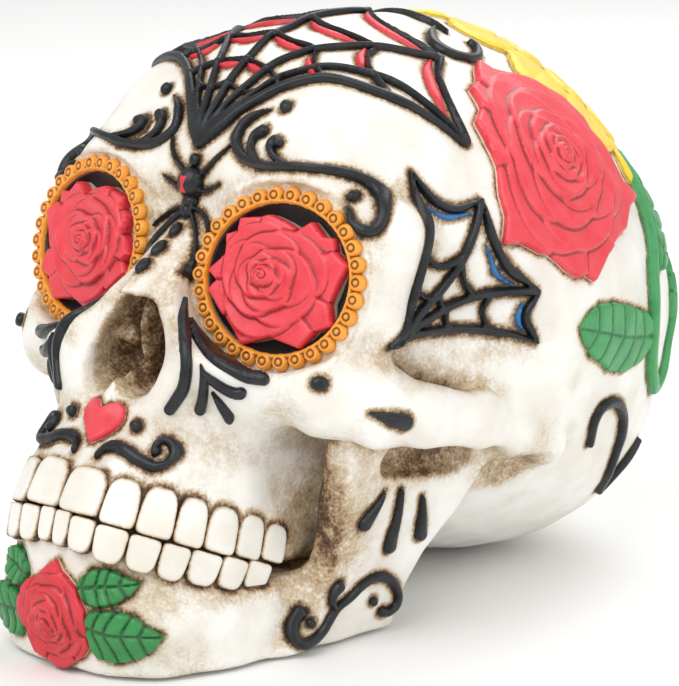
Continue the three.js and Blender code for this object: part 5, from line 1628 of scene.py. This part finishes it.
@dataclass
class Teeth:
    """Two rows of separate crowns on the dental arch."""

    upper_widths: tuple[float, ...] = (12.0, 9.0, 9.2, 8.2, 9.2, 8.4, 8.2)
    lower_widths: tuple[float, ...] = (4.9, 7.2, 8.4, 8.0, 7.6, 8.8, 8.0, 8.0)
    upper_crown: float = 11.6
    lower_crown: float = 8.4
    bow: float = 2.4
    gap: float = 0.25
    half_width: float = 31.6
    reach: float = 51.0
    power: float = 2.7
    lean: float = 0.12
    bow_middle: float = 27.0
    bow_half: float = 37.0
    last_crown: float = 57.0
    profile: tuple[Point, ...] = (
        (0.4, 1.0), (0.7, 0.99), (0.86, 0.93), (0.94, 0.78), (0.98, 0.5), (1.0, 0.1), (1.0, -0.5),
        (0.9, -3.2), (0.6, -3.6),
    )
    # Wash and painted shade across a crown, from none on its face to most on its sides and back, between
    # the teeth
    edge_wash_and_shade: tuple[float, ...] = (0.0, 0.02, 0.1, 0.3, 0.6, 0.95, 1.3, 1.5, 1.5)

    def arch(self) -> tuple[Array, Array]:
        """Gives the run along the arch and its points, from the middle back."""
        angle = np.linspace(0, math.pi / 2, 400)
        across = self.half_width * np.sin(angle) ** (2 / self.power)
        forward = self.reach * np.maximum(np.cos(angle), 0) ** (2 / self.power)
        points = np.stack([across, forward], 1)
        run = np.concatenate([[0], np.cumsum(np.linalg.norm(np.diff(points, axis=0), axis=1))])
        return run, points

    def crown(self, start: float, width: float, tall: float, direction: int, side: int,
              odd: float) -> Shell:
        """Builds one crown.

        Args:
            start: Where it starts along the arch.
            width: Its width.
            tall: Its height.
            direction: 1 for the upper row and -1 for the lower.
            side: 1 for the left half and -1 for the right.
            odd: A small number that makes it unlike its neighbours.

        Returns:
            The closed crown.
        """
        run, points = self.arch()
        angles = 2 * math.pi * np.arange(40) / 40
        cosine, sine = np.cos(angles), np.sin(angles)
        power = np.where(sine > 0, 3.2, 6.0)
        across = np.sign(cosine) * np.abs(cosine) ** (2 / power) * (width - self.gap) / 2
        rise = np.sign(sine) * np.abs(sine) ** (2 / power) * np.where(sine > 0, 0.56, 0.44) * tall
        across = across * (1 - 0.09 * np.clip(rise / tall, -0.2, 1)) * (1 + 0.01 * odd)
        middle = 0.12 + 0.44 * tall
        centre = start + width / 2
        bow = self.bow * ((centre - self.bow_middle) / self.bow_half) ** 2
        rows = []
        for share, proud in self.profile:
            along = np.clip(centre + across * share, 0, run[-1])
            spot, ahead, behind = (
                np.stack([np.interp(along + step, run, points[:, axis]) for axis in (0, 1)], 1)
                for step in (0.0, 0.2, -0.2)
            )
            tangent = (ahead - behind) / np.linalg.norm(ahead - behind, axis=1, keepdims=True)
            height = direction * (middle + rise * share)
            out = proud * 1.15 - 0.55 - self.lean * height * direction + 0.12 * odd
            spot = spot + np.stack([-tangent[:, 1], tangent[:, 0]], 1) * out[:, None]
            rows.append(BITE.from_plane(side * spot[:, 0], spot[:, 1], height + bow))
        if side * direction < 0:
            rows = [row[::-1] for row in rows]
        return skin(rows[::-1], {"wash_and_shade": np.array(self.edge_wash_and_shade[::-1])})

    def row(self, widths: tuple[float, ...], tall: float, direction: int) -> Shell:
        """Builds one row of crowns."""
        random = np.random.default_rng(SEED + direction)
        shells = []
        for side in (1, -1):
            start = 0.0
            for width in widths:
                shrink = 1 - 0.22 * (start / self.last_crown) ** 6
                crown_height = tall * shrink * random.uniform(0.96, 1.03)
                odd = random.uniform(-1, 1)
                shells.append(self.crown(start, width, crown_height, direction, side, odd))
                start += width
        return Shell.joined(shells)

    def build(self) -> list[Piece]:
        """Builds both rows."""
        upper = self.row(self.upper_widths, self.upper_crown, 1)
        lower = self.row(self.lower_widths, self.lower_crown, -1)
        return [single("upper_teeth", upper, ENAMEL, ROUND_SHARP),
                single("lower_teeth", lower, ENAMEL, ROUND_SHARP)]


@dataclass
class ForeheadWeb:
    """The large web over the forehead, with red lines under its strands."""

    bone: Bone
    aim: Point = (0, 95, 80)
    border: tuple[Point, ...] = (
        (0, -16.4), (3, -13.6), (8, -7.3), (15, 1), (22, 6), (32, 9), (40, 11), (48.5, 14.8),
    )
    spokes: tuple[tuple[Point, ...], ...] = (
        ((1.5, -13), (5, -2), (10, 10), (18, 22), (28, 36.8)),
        ((0.5, -15), (6.5, -6.5), (12.5, 3.5), (21, 10.5), (32, 15), (41, 16), (47.5, 15.5)),
    )
    arcs: tuple[tuple[Point, ...], ...] = (
        ((0, -1), (3.2, -2.6), (6.6, -3), (8.5, -2.2)),
        ((0, 7), (4, 6), (8, 5), (11, 3.2), (14, 1)),
        ((0, 18), (6, 16.2), (13, 16), (15.5, 13), (18, 10), (23, 6.8)),
        ((0, 30), (8, 26.5), (20.5, 26), (23, 21.5), (28, 16), (36, 11)),
        ((0, 47), (4, 43.5), (12, 39), (28, 37)),
        ((28, 37), (32, 31), (38, 25), (47, 17), (48, 15.5)),
    )
    lines: tuple[tuple[Point, ...], ...] = (
        ((2, 45.0), (7, 40.2), (14, 37.0), (26, 35.0)),
        ((2, 27.6), (8, 24.6), (18, 24.3)),
        ((1.5, 16.2), (6, 14.6), (11.5, 14.2)),
        ((1.2, 5.6), (4, 4.6), (7, 3.8)),
        ((20.4, 23.8), (22.6, 19.8), (27, 15)),
        ((14.6, 12.2), (16.6, 9.4), (20, 7)),
        ((27.8, 34.2), (30.6, 29.8), (36.5, 23.9), (43.8, 17.4)),
    )

    def brushed(self, strokes: list[Stroke], height: float, edge: float, pitch: float,
                lip: float) -> Shell:
        """Draws strokes and their mirror images on the forehead."""
        seat = self.bone.seat(self.aim, azimuth=0, elevation=55)
        strokes = [*strokes, *[stroke.mirrored() for stroke in strokes]]
        return brushed(seat, strokes, height, edge, pitch, lip)

    def build(self) -> list[Piece]:
        """Builds the web as one crossed relief, and the painted lines beside its strands."""
        strands = [
            Stroke(self.border, (1.9, 1.4, 1.3, 1.2, 1.15, 1.2, 0.35)),
            Stroke(self.spokes[0], (1.0, 0.75, 0.75, 0.8)),
            Stroke(self.spokes[1], (0.85, 0.7, 0.75, 0.85, 0.65)),
            Stroke(((0, -15), (0, 15), (0, 47)), (1.05, 0.75, 0.8)),
            *[Stroke(points, (0.75, 0.52, 0.5, 0.52, 0.75)) for points in self.arcs],
        ]
        lines = [Stroke(points, (0.4, 1.05, 1.05, 0.4)) for points in self.lines]
        return [single("forehead_web", self.brushed(strands, 1.75, 1.0, 0.38, 0.4), BLACK),
                Piece("forehead_web_lining", self.brushed(lines, 0.9, 0.8, 0.42, 0.2), LINE_RED)]


@dataclass
class TempleWeb:
    """The small web on each temple, with blue lines under its strands."""

    bone: Bone
    aim: Point = (0, 75, 88)
    edges: tuple[tuple[Point, ...], ...] = (
        ((1, 12.5), (0.3, 4), (0, -6), (-1, -14), (-4, -20), (-12, -26.5)),
        ((-12, -26.5), (0, -25), (12, -25.5), (22, -28), (31.5, -32)),
        ((1, 12.5), (5, 5.5), (11, 2.2), (18.5, 3.4)),
        ((18.5, 3.4), (19.4, -6), (24, -13.5), (31.8, -20)),
        ((31.8, -20), (28, -25.5), (31.5, -32)),
    )
    spokes: tuple[tuple[Point, ...], ...] = (
        ((-3, -23.5), (8, -14), (14, -4.5), (18, 3)),
        ((-3, -24), (12, -19.2), (22, -18.6), (31, -20)),
    )
    arcs: tuple[tuple[Point, ...], ...] = (
        ((0.5, -7), (5.5, -10.2), (11.5, -9)),
        ((-0.8, -15), (3, -17), (6, -16.4)),
        ((11, -9.8), (12.6, -14.5), (16, -18.4)),
        ((6, -16.5), (6.6, -18.6), (8.5, -20)),
        ((20, -19), (18.4, -22.5), (19.6, -27)),
        ((8.5, -20.4), (8.6, -23), (9.8, -25.3)),
    )
    lines: tuple[tuple[Point, ...], ...] = (
        ((3.4, 3.6), (8, 0.8), (14.6, 0.6)),
        ((17.6, -7.5), (20.4, -13.4), (25.2, -17.6)),
        ((27.6, -22.2), (26.3, -25.4), (27.2, -28.6)),
    )

    def build(self) -> list[Piece]:
        """Builds the webs and their lines."""
        seat = self.bone.seat(self.aim, azimuth=80, elevation=15)
        strokes = [Stroke(points, (0.35, 1.05, 1.05, 1.05, 0.35)) for points in self.edges]
        strokes += [Stroke(points, (1.15, 1.05, 1.05)) for points in self.spokes]
        strokes += [Stroke(points, (0.85, 0.7, 0.85)) for points in self.arcs]
        web = brushed(seat, strokes, height=1.8, edge=1.0, pitch=0.36)
        lines = [Stroke(points, (0.3, 0.8, 0.3)) for points in self.lines]
        lining = brushed(seat, lines, height=0.9, edge=0.7, pitch=0.36, lip=0.2)
        return [*pair("temple_web", web, BLACK), *pair("temple_web_lining", lining, LINE_BLUE, False)]


@dataclass
class FaceScrolls:
    """Scrolls, sprays, dots and drops of black paint on the face and jaw."""

    bone: Bone
    brow_stem: tuple[Point, ...] = (
        (-17.6, 29.4), (-21.4, 27.2), (-23.6, 24.3), (-23.9, 21.2), (-21.4, 18.2), (-17.3, 16.5),
        (-11.6, 15.9), (-5.9, 16.3), (0.4, 16.6), (5, 16.6), (8.8, 16), (12.2, 14.4), (15, 11.7),
        (17, 8.3), (16.8, 5.3), (14.9, 3.7), (11.6, 5), (9.6, 8.6),
    )
    brow_curls: tuple[tuple[tuple[Point, ...], tuple[float, ...]], ...] = (
        (((-16.4, 16.8), (-18.8, 19.6), (-19, 22.6), (-17, 24.3)), (0.9, 0.95, 1.0, 1.35)),
        (((-6.6, 16.6), (-10.9, 18.3), (-13.2, 20.6), (-12.6, 22.2), (-11.2, 21.6)),
         (0.6, 0.75, 0.95, 1.2, 1.1)),
    )
    moustache: tuple[Point, ...] = (
        (3.7, -10.1), (4.5, -8.6), (7.6, -7.6), (10.8, -8.1), (13.8, -9.4), (16.8, -10.4),
        (18.8, -10.8), (20.1, -10), (20.4, -8.4), (19.6, -6.7), (18.2, -5.6), (16.7, -5.6),
        (16.3, -6.9), (17.1, -7.9),
    )
    spray: tuple[tuple[tuple[Point, ...], tuple[float, ...]], ...] = (
        (((-24.1, 15), (-24.4, 10.8), (-24, 7.5), (-23.1, 2.5), (-22.9, -1.6), (-23.6, -5.8), (-25.2, -8.6),
          (-26.8, -10.9)), (0.2, 0.9, 1.2, 1.3, 1.4, 1.5, 1.4)),
        (((-23, 9.9), (-21.4, 6.6), (-19, 3.4), (-16.1, 0.6), (-12.7, -1.6), (-9, -3.5), (-5.1, -4.1)),
         (0.3, 1.1, 1.4, 1.4, 1.4, 1.35)),
        (((-19.6, -0.7), (-18.9, -3.9), (-19.2, -8.1), (-19.9, -10.9)), (0.3, 1.0, 1.2, 1.4)),
        (((-19.1, -2.1), (-16.8, -4.4), (-14.1, -6.2), (-11.8, -7.1), (-10.4, -7.1)),
         (0.4, 1.1, 1.2, 1.35)),
        (((-16.9, -7.1), (-15.1, -9.9), (-13.3, -12.7)), (0.4, 1.0, 1.3)),
    )
    cheek_tear: tuple[Point, ...] = ((-0.6, 30.2), (4, 28.4), (8.6, 26.8))
    jaw_tears: tuple[tuple[tuple[Point, ...], tuple[float, ...]], ...] = (
        (((11.4, 6.9), (9.2, 3.2), (6.4, -0.4)), (0.25, 1.0, 1.75)),
        (((16.7, 5.8), (16.6, -1), (15.7, -8.1)), (0.75, 1.1, 1.9)),
        (((24, 3), (25, -2.4), (25.4, -7)), (0.5, 1.3, 1.8)),
    )
    jaw_stem: tuple[Point, ...] = (
        (-7.7, -21.2), (-9.7, -23.4), (-10.4, -26.2), (-8.6, -28.3), (-5, -28.2), (-2.1, -26.3),
        (-0.2, -23.6), (1.6, -21.1), (4.9, -19.2), (8, -17.1), (12, -15.9), (16.6, -16.8),
        (19.6, -19.5), (21, -22.6), (20.4, -25), (18, -26), (16.4, -25.6),
    )
    jaw_curl: tuple[Point, ...] = ((1.2, -21.4), (-0.4, -19.4), (-0.4, -17.2), (1.1, -15.6))
    dots: tuple[tuple[str, str, Point, float], ...] = (
        ("forehead_dot", "brow", (-13.6, 30.5), 1.45),
        ("brow_dot", "brow", (9.6, 11.4), 1.3),
        ("cheek_dot", "brow", (11, -32), 1.75),
        ("lip_dot", "nose", (10.4, -2.9), 1.4),
    )
    jaw_dots: tuple[Point, ...] = ((-5.9, -23.8), (13, -22.2))

    def build(self) -> list[Piece]:
        """Builds the black pieces of both sides."""
        seats = {
            "brow": self.bone.seat((30.5, 70, 92.7), 11, 15),
            "nose": self.bone.seat((0, 60, 60), 0, 0),
            "jaw": self.bone.seat((0, 60, 32), 75, 0),
            "spray": self.bone.seat((30, 45, 70), 41, 13.6),
        }
        jaw_widths = (1.5, 1.4, 1.35, 1.2, 1.0, 0.95, 1.05, 1.2, 1.15, 1.0, 1.3)
        brow_widths = (0.25, 1.15, 1.3, 1.15, 1.0, 0.95, 0.95, 1.0, 1.1, 1.35, 1.4, 1.2, 0.25)
        lip_widths = (0.6, 1.05, 1.0, 1.0, 1.05, 0.95, 0.85, 0.8, 0.95)
        brow = [(self.brow_stem, brow_widths), *self.brow_curls]
        jaw = [(self.jaw_stem, jaw_widths), (self.jaw_curl, (0.7, 0.95, 1.35))]
        # Each drawing's name, seat and lines, then its height, shoulder width and pitch
        drawings = (
            ("brow_scroll", "brow", brow, 1.8, 1.0, PAINT_PITCH),
            ("moustache", "nose", [(self.moustache, lip_widths)], 1.7, 1.0, 0.3),
            ("eye_spray", "spray", self.spray, 1.7, 1.1, PAINT_PITCH),
            ("cheek_tear", "jaw", [(self.cheek_tear, (0.3, 1.5, 2.0))], 1.7, 1.4, PAINT_PITCH),
            ("front_jaw_tear", "jaw", self.jaw_tears[:1], 1.8, 1.4, 0.3),
            ("middle_jaw_tear", "jaw", self.jaw_tears[1:2], 1.8, 1.4, 0.3),
            ("rear_jaw_tear", "jaw", self.jaw_tears[2:], 1.8, 1.4, 0.3),
            ("jaw_scroll", "jaw", jaw, 1.7, 1.0, PAINT_PITCH),
        )
        pieces = []
        for name, place, lines, height, edge, pitch in drawings:
            strokes = [Stroke(points, widths) for points, widths in lines]
            pieces += pair(name, brushed(seats[place], strokes, height, edge, pitch), BLACK)
        for name, place, spot, radius in self.dots:
            pieces += pair(name, dome(seats[place], spot, radius, 1.7), BLACK)
        for number, spot in enumerate(self.jaw_dots):
            pieces += pair(f"jaw_dot_{number + 1}", dome(seats["jaw"], spot, 1.15, 1.3), BLACK, False)
        return pieces


@dataclass
class FaceMiddle:
    """The heart over the lip, the spider between the eyes and the dots down the nose."""

    bone: Bone
    heart: tuple[Point, ...] = (
        (0, -0.4), (1.8, 0.9), (3.8, 1), (5.6, -0.2), (6.3, -2), (5.6, -3.8), (4.2, -5.4), (2.3, -6.8),
        (0.7, -7.7), (0, -8),
    )
    legs: tuple[tuple[Point, ...], ...] = (
        ((0.8, -5.5), (5.2, -2.4), (7.4, 0.2), (9.1, 3.3)),
        ((1.4, -7.5), (4.9, -7.3), (9, -5.9)),
        ((0.8, -11.8), (3.6, -12.2), (6.7, -14.3), (9.6, -18.6)),
        ((0.8, -13), (2.6, -14.6), (6.6, -21.2), (7.6, -28.7)),
    )
    belly: Point = (-0.6, -6.3)
    waist: Point = (-0.3, -10.2)
    head: Point = (-0.2, -12.8)
    belly_radius: float = 3.6
    belly_height: float = 4.0
    dot: Point = (0, -1.4)
    nose_dots: tuple[Point, ...] = ((0, 38), (0, 34.5), (0, 31.2))

    def spider(self, seat: Seat) -> Shell:
        """Builds the spider: a round belly, a waist, a small head and eight thin legs."""
        strokes = [Stroke(points, (0.65, 0.52, 0.45, 0.2)) for points in self.legs]
        strokes += [stroke.mirrored() for stroke in strokes]
        grid = Grid.over([(-10, 6), (10, -31)], 0.26, 1.0)
        inside = inked(grid, strokes)
        height = 0.4 + 0.9 * rounded(inside, 0.5)
        belly = (self.belly, self.belly_radius, self.belly_height)
        parts = (belly, (self.waist, 2.3, 2.6), (self.head, 1.9, 2.2))
        for (u, v), radius, tall in parts:
            share = np.hypot((grid.u - u) / radius, (grid.v - v) / radius)
            inside = np.maximum(inside, (1 - share) * radius)
            height = np.maximum(height, tall * np.sqrt(np.clip(1 - share ** 2, 0, 1)))
        return relief(seat, grid, inside, height, 0.4)

    def marking(self, seat: Seat) -> Shell:
        """Builds the red mark on the belly: two wedges that meet."""
        outline = ((-1.15, 1.9), (1.15, 1.9), (0.42, 0.1), (1.15, -1.7), (-1.15, -1.7), (-0.42, 0.1))
        u, v = self.belly
        moved = tuple((a + u, b + v) for a, b in outline)
        grid, inside = traced(moved, 0.14, 0.6)
        share = np.hypot(grid.u - u, grid.v - v) / self.belly_radius
        belly = self.belly_height * np.sqrt(np.clip(1 - share ** 2, 0.05, 1))
        shell = relief(seat, grid, inside, belly + 0.2, belly + 0.12, np.zeros(grid.u.shape), 0.3 - belly)
        shell.marks["foot"][:] = 0
        return shell

    def build(self) -> list[Piece]:
        """Builds the heart, the spider with its mark, and the dots."""
        nose = self.bone.seat((0, 60, 60), 0, 0)
        spider = self.bone.seat((0, 90, 85), 0, 35)
        outline = (*self.heart, *[(-u, v) for u, v in self.heart[-2:0:-1]])
        grid, inside = traced(outline, 0.28, 1.0)
        heart = relief(nose, grid, inside, 0.9 + 0.6 * rounded(inside, 1.2), 0.8)
        pieces = [single("heart", heart, CORAL), single("spider", self.spider(spider), BLACK),
                  Piece("spider_marking", self.marking(spider), LINE_RED),
                  Piece("web_tip_dot", dome(spider, self.dot, 1.4, 1.5), BLACK)]
        for number, spot in enumerate(self.nose_dots):
            pieces.append(Piece(f"nose_dot_{number + 1}", dome(nose, spot, 1.3, 1.3), BLACK))
        return pieces


@dataclass
class ChinFlower:
    """The rose on the chin and its four leaves."""

    bone: Bone
    rose: tuple[Point, ...] = (
        (1.4, 7.4), (3, 4.8), (5.4, 3.2), (8, 1.4), (8.8, -0.6), (10.6, -3), (11, -6.6), (10.3, -9.4),
        (10.5, -12), (8.8, -15), (6.6, -16.2), (4.2, -18), (0.4, -18.6), (-3, -17.6), (-6.6, -16.8),
        (-9.2, -13.6), (-9.9, -10.8), (-11, -8), (-10.5, -4.4), (-9, -1.8), (-7.2, 1), (-3.8, 2.6),
        (-1.2, 5.4),
    )
    upper_leaf: tuple[Point, ...] = (
        (7.6, 1.8), (8.4, 4.2), (10.6, 6.2), (14.4, 7), (17.4, 5.8), (20.6, 3.8), (19.4, 0.8),
        (17.2, -1.2), (13.6, -2.2), (10.6, -2), (9, -0.4),
    )
    lower_leaf: tuple[Point, ...] = (
        (10.6, -4.4), (11.6, -3.2), (13.4, -2.9), (17.6, -2.4), (21.4, -3.6), (26.2, -8.2),
        (24.4, -11.6), (20.8, -14.2), (16.6, -15.3), (12.6, -14.6), (10.4, -12.2), (10.4, -8.6),
    )

    def build(self) -> list[Piece]:
        """Builds the rose and the leaves."""
        seat = self.bone.seat((0, 45, 20), 0, 0)
        bloom = Bloom((0, -7.2), self.rose, height=4.8, petals=26, bud=0.16, edge=0.6, start=0.8, seed=5)
        upper = Leaf(((7, 1.5), (13, 2.4), (20, 3.6)), self.upper_leaf, height=2.0, veins=4)
        lower = Leaf(((7, -6), (15, -7.4), (25.4, -8.2)), self.lower_leaf, height=2.1, veins=5)
        return [single("chin_rose", bloom.shell(seat, 0.26, lip=1.3), CRIMSON),
                *pair("chin_upper_leaf", upper.shell(seat, 0.28), CHIN_GREEN),
                *pair("chin_lower_leaf", lower.shell(seat, 0.28), CHIN_GREEN)]


@dataclass
class SideFlower:
    """The large rose on each side of the cranium, with its vine and leaves."""

    bone: Bone
    rose: tuple[Point, ...] = (
        (-1, 34), (2, 31.2), (6, 30), (10, 28.2), (14, 27), (18, 24.6), (22, 22), (27, 16), (26.4, 10),
        (28, 4), (28.4, -2), (33, -6), (30, -7.6), (26.4, -9), (22, -14), (17.5, -15.6), (13, -18),
        (9, -20.4), (4, -25.5), (1, -23.6), (-2, -24), (-6, -22), (-8, -20), (-11, -17.6), (-14, -17),
        (-19, -14), (-25, -13), (-22.4, -7), (-22, -2), (-19.6, 5), (-19.4, 11), (-19, 17), (-14, 20.4),
        (-13, 26), (-8, 28), (-5, 31.4),
    )
    vine: tuple[Point, ...] = (
        (10, 40), (4, 31), (-1.5, 22), (-5, 13.5), (-6.8, 6), (-6.8, -1), (-4.6, -9.4), (0.4, -15.6),
        (6, -18.6), (11, -16), (14.5, -9), (16.5, 0), (17, 8),
    )
    front_leaf: tuple[Point, ...] = (
        (-41.8, 7.6), (-38.6, 10.4), (-34.4, 11.6), (-28, 10.6), (-20, 8), (-11, 4.6), (-7, 1),
        (-7, -4), (-12, -7.8), (-20, -8.6), (-28, -6.4), (-36, -1.2), (-40, 3.4),
    )
    upper_leaf: tuple[Point, ...] = (
        (-2, 14), (2, 12), (7.4, 13.4), (12.4, 19), (15, 27), (15.4, 35), (11.4, 37.4), (7, 35),
        (3.4, 29), (0, 22),
    )
    bud_leaf: tuple[Point, ...] = (
        (13, -2), (17.6, -3), (20.4, 1), (21.4, 8), (20, 14), (16.6, 10), (13.4, 4),
    )

    def build(self) -> list[Piece]:
        """Builds the rose, vine and leaves of both sides."""
        side = self.bone.seat((0, 120, 80), 82, 25)
        nape = self.bone.seat((0, 130, 60), 110, 5)
        bloom = Bloom((3.5, 5), self.rose, height=5.4, petals=34, bud=0.10, edge=0.9, start=1.4, seed=11)
        vine = Stroke(self.vine, (1.4, 1.7, 1.8, 1.9, 1.8, 1.8, 1.6, 1.4, 1.2))
        front = Leaf(((-8, -2), (-20, 0.4), (-32, 4), (-41, 7)), self.front_leaf, height=1.4, veins=5)
        upper = Leaf(((0, 14), (6, 22), (12.6, 36)), self.upper_leaf, height=2.1, veins=4)
        bud = Leaf(((15, -2), (17.4, 4), (19.6, 12)), self.bud_leaf, height=1.7, veins=2)
        pieces = pair("side_rose", bloom.shell(side, 0.37, lip=1.2), CORAL)
        pieces += pair("rose_vine", brushed(nape, [vine], 2.2, 1.6, 0.38, 0.5), LEAF_GREEN)
        leaves = {"front_vine_leaf": front, "upper_vine_leaf": upper, "vine_bud_leaf": bud}
        for name, leaf in leaves.items():
            pieces += pair(name, leaf.shell(nape, 0.34), LEAF_GREEN, node=leaf is not bud)
        return pieces


@dataclass
class BackWork:
    """The yellow flower on the back of the crown, and the scrolls at crown and nape."""

    bone: Bone
    across: float = 49.5
    up: float = 46.5
    crown_line: tuple[Point, ...] = ((-9.6, 26.8), (-5.2, 24), (-0.4, 21.3), (3.8, 17.4))
    crown: tuple[Point, ...] = (
        (0.6, 17), (1.2, 10.6), (3.2, 6), (6.8, 4.2), (10, 5.6), (12, 9.4), (11.4, 13.6), (9.4, 15.6),
    )
    nape: tuple[Point, ...] = (
        (-3.7, -16.4), (-5.8, -10.4), (-3.8, -6.8), (2.4, -7), (7.8, -11.2), (10, -16.5), (11, -22),
        (13, -28), (17.4, -34),
    )
    nape_tail: tuple[Point, ...] = ((17.4, -34), (19.6, -28), (24.4, -21.6))

    def build(self) -> list[Piece]:
        """Builds the flower and the scrolls."""
        back = self.bone.seat((0, 110, 70), 180, 35)
        rings = (
            PetalRing(14, 1.0, 0.30, 0.3),
            PetalRing(14, 0.76, 0.40, 0.8),
            PetalRing(10, 0.54, 0.50, 0.3),
            PetalRing(7, 0.34, 0.58, 0.1),
        )
        flower = Daisy(self.across, self.up, 3.2, 0.13, rings).shell(back, 0.48)
        crown = self.bone.seat((0, 140, 80), 30, 50)
        nape = self.bone.seat((0, 130, 50), 90, 5)
        hook = [Stroke(self.crown_line, (0.5, 0.8, 0.7, 0.3)),
                Stroke(self.crown, (0.5, 1.1, 1.3, 1.3, 1.2, 1.1, 0.7))]
        tail = [Stroke(self.nape, (0.9, 1.25, 1.3, 1.25, 1.2, 1.1, 0.9)),
                Stroke(self.nape_tail, (0.7, 1.2, 0.6))]
        return [single("back_flower", flower, YELLOW),
                *pair("crown_scroll", brushed(crown, hook, 1.7, 1.0, PAINT_PITCH), BLACK),
                *pair("nape_scroll", brushed(nape, tail, 1.7, 1.0, PAINT_PITCH), BLACK)]


# Studio

@dataclass
class Studio:
    """A pale floor, soft lamps and the camera of the photograph."""

    azimuth: float = 41.0
    elevation: float = 13.6
    distance: float = 875.0
    target: Point = (0.0, 98.0, 60.0)
    focal_pixels: float = 3500.0
    long_side: float = 686.0
    sensor: float = 36.0

    def centre(self) -> Vector:
        """Gives the camera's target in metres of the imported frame."""
        return (Vector(self.target) + Vector((0, packed_shift(), 0))) * MM

    def camera(self) -> None:
        """Makes the scene's camera."""
        data = bpy.data.cameras.new("camera")
        data.sensor_width = self.sensor
        data.lens = self.focal_pixels / self.long_side * self.sensor
        data.clip_end = 20
        camera = bpy.data.objects.new("camera", data)
        way = Vector(way_out(self.azimuth, self.elevation))
        camera.location = self.centre() + way * self.distance * MM
        camera.rotation_euler = way.to_track_quat("Z", "Y").to_euler()
        bpy.context.scene.collection.objects.link(camera)
        bpy.context.scene.camera = camera

    def lamp(self, name: str, azimuth: float, elevation: float, power: float, size: float,
             far: float = 1.1) -> None:
        """Adds a soft square lamp that faces the skull.

        Args:
            name: The lamp's name.
            azimuth: Where it stands round the skull, in degrees.
            elevation: How high it stands, in degrees.
            power: Its power in watts.
            size: The length of its side in metres.
            far: How far off it stands in metres.
        """
        data = bpy.data.lights.new(name, "AREA")
        data.energy, data.size = power, size
        lamp = bpy.data.objects.new(name, data)
        way = Vector(way_out(azimuth, elevation))
        lamp.location = self.centre() + way * far
        lamp.rotation_euler = way.to_track_quat("Z", "Y").to_euler()
        bpy.context.scene.collection.objects.link(lamp)

    def floor(self) -> None:
        """Lays the pale floor."""
        mesh = bpy.data.meshes.new("floor")
        side = 6.0
        corners = [(-side, -side, 0), (side, -side, 0), (side, side, 0), (-side, side, 0)]
        mesh.from_pydata(corners, [], [(0, 1, 2, 3)])
        floor = bpy.data.objects.new("floor", mesh)
        mesh.materials.append(SWEEP.material())
        bpy.context.scene.collection.objects.link(floor)
        floor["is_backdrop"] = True

    def world(self) -> None:
        """Lights the room evenly with a pale sky."""
        world = bpy.data.worlds.new("studio")
        world.use_nodes = True
        shade = world.node_tree.nodes["Background"]
        shade.inputs["Color"].default_value = (1, 1, 1, 1)
        shade.inputs["Strength"].default_value = 0.68
        bpy.context.scene.world = world
        bpy.context.scene.view_settings.view_transform = "Standard"

    def build(self) -> None:
        """Sets up the studio."""
        self.camera()
        self.floor()
        self.world()
        self.lamp("key", azimuth=10, elevation=48, power=6.5, size=0.9)
        self.lamp("fill", azimuth=95, elevation=25, power=3, size=1.0)
        self.lamp("rim", azimuth=200, elevation=50, power=5, size=0.8)


def write_sizes() -> None:
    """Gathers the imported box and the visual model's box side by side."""
    boxes = {"cad": CAD_BOX, "visual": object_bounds()}
    sizes = {name: [list(corner) for corner in box] for name, box in boxes.items()}


def main() -> None:
    """Builds the skull, dresses it and sets up the studio."""
    logging.basicConfig(level=logging.INFO, format="%(message)s")
    bone = Bone()
    bone.shape()
    teeth = Teeth().build()
    pieces = [*EyePieces().build(), *teeth]
    for assembly in (ForeheadWeb, TempleWeb, FaceScrolls, FaceMiddle, ChinFlower, SideFlower, BackWork):
        pieces += assembly(bone).build()
    # Reliefs and teeth whose feet get wash and painted shade on the bone
    shown = [piece.shell for piece in pieces
             if "foot" in piece.shell.marks and not piece.name.startswith("eye_")]
    bone.wash_and_shade(shown, [piece.shell for piece in teeth])
    for name, shell in bone.shells.items():
        pieces.append(single(name, shell, BONE, ROUND_SHARP))
    for piece in pieces:
        piece.put()
    for name in ("jaw_left_pad", "jaw_right_pad", "cranium_pad"):
        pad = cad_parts[name]
        pad.data.materials.clear()
        pad.data.materials.append(FELT.material())
    Studio().build()
    write_sizes()


if __name__ == "__main__":
    main()
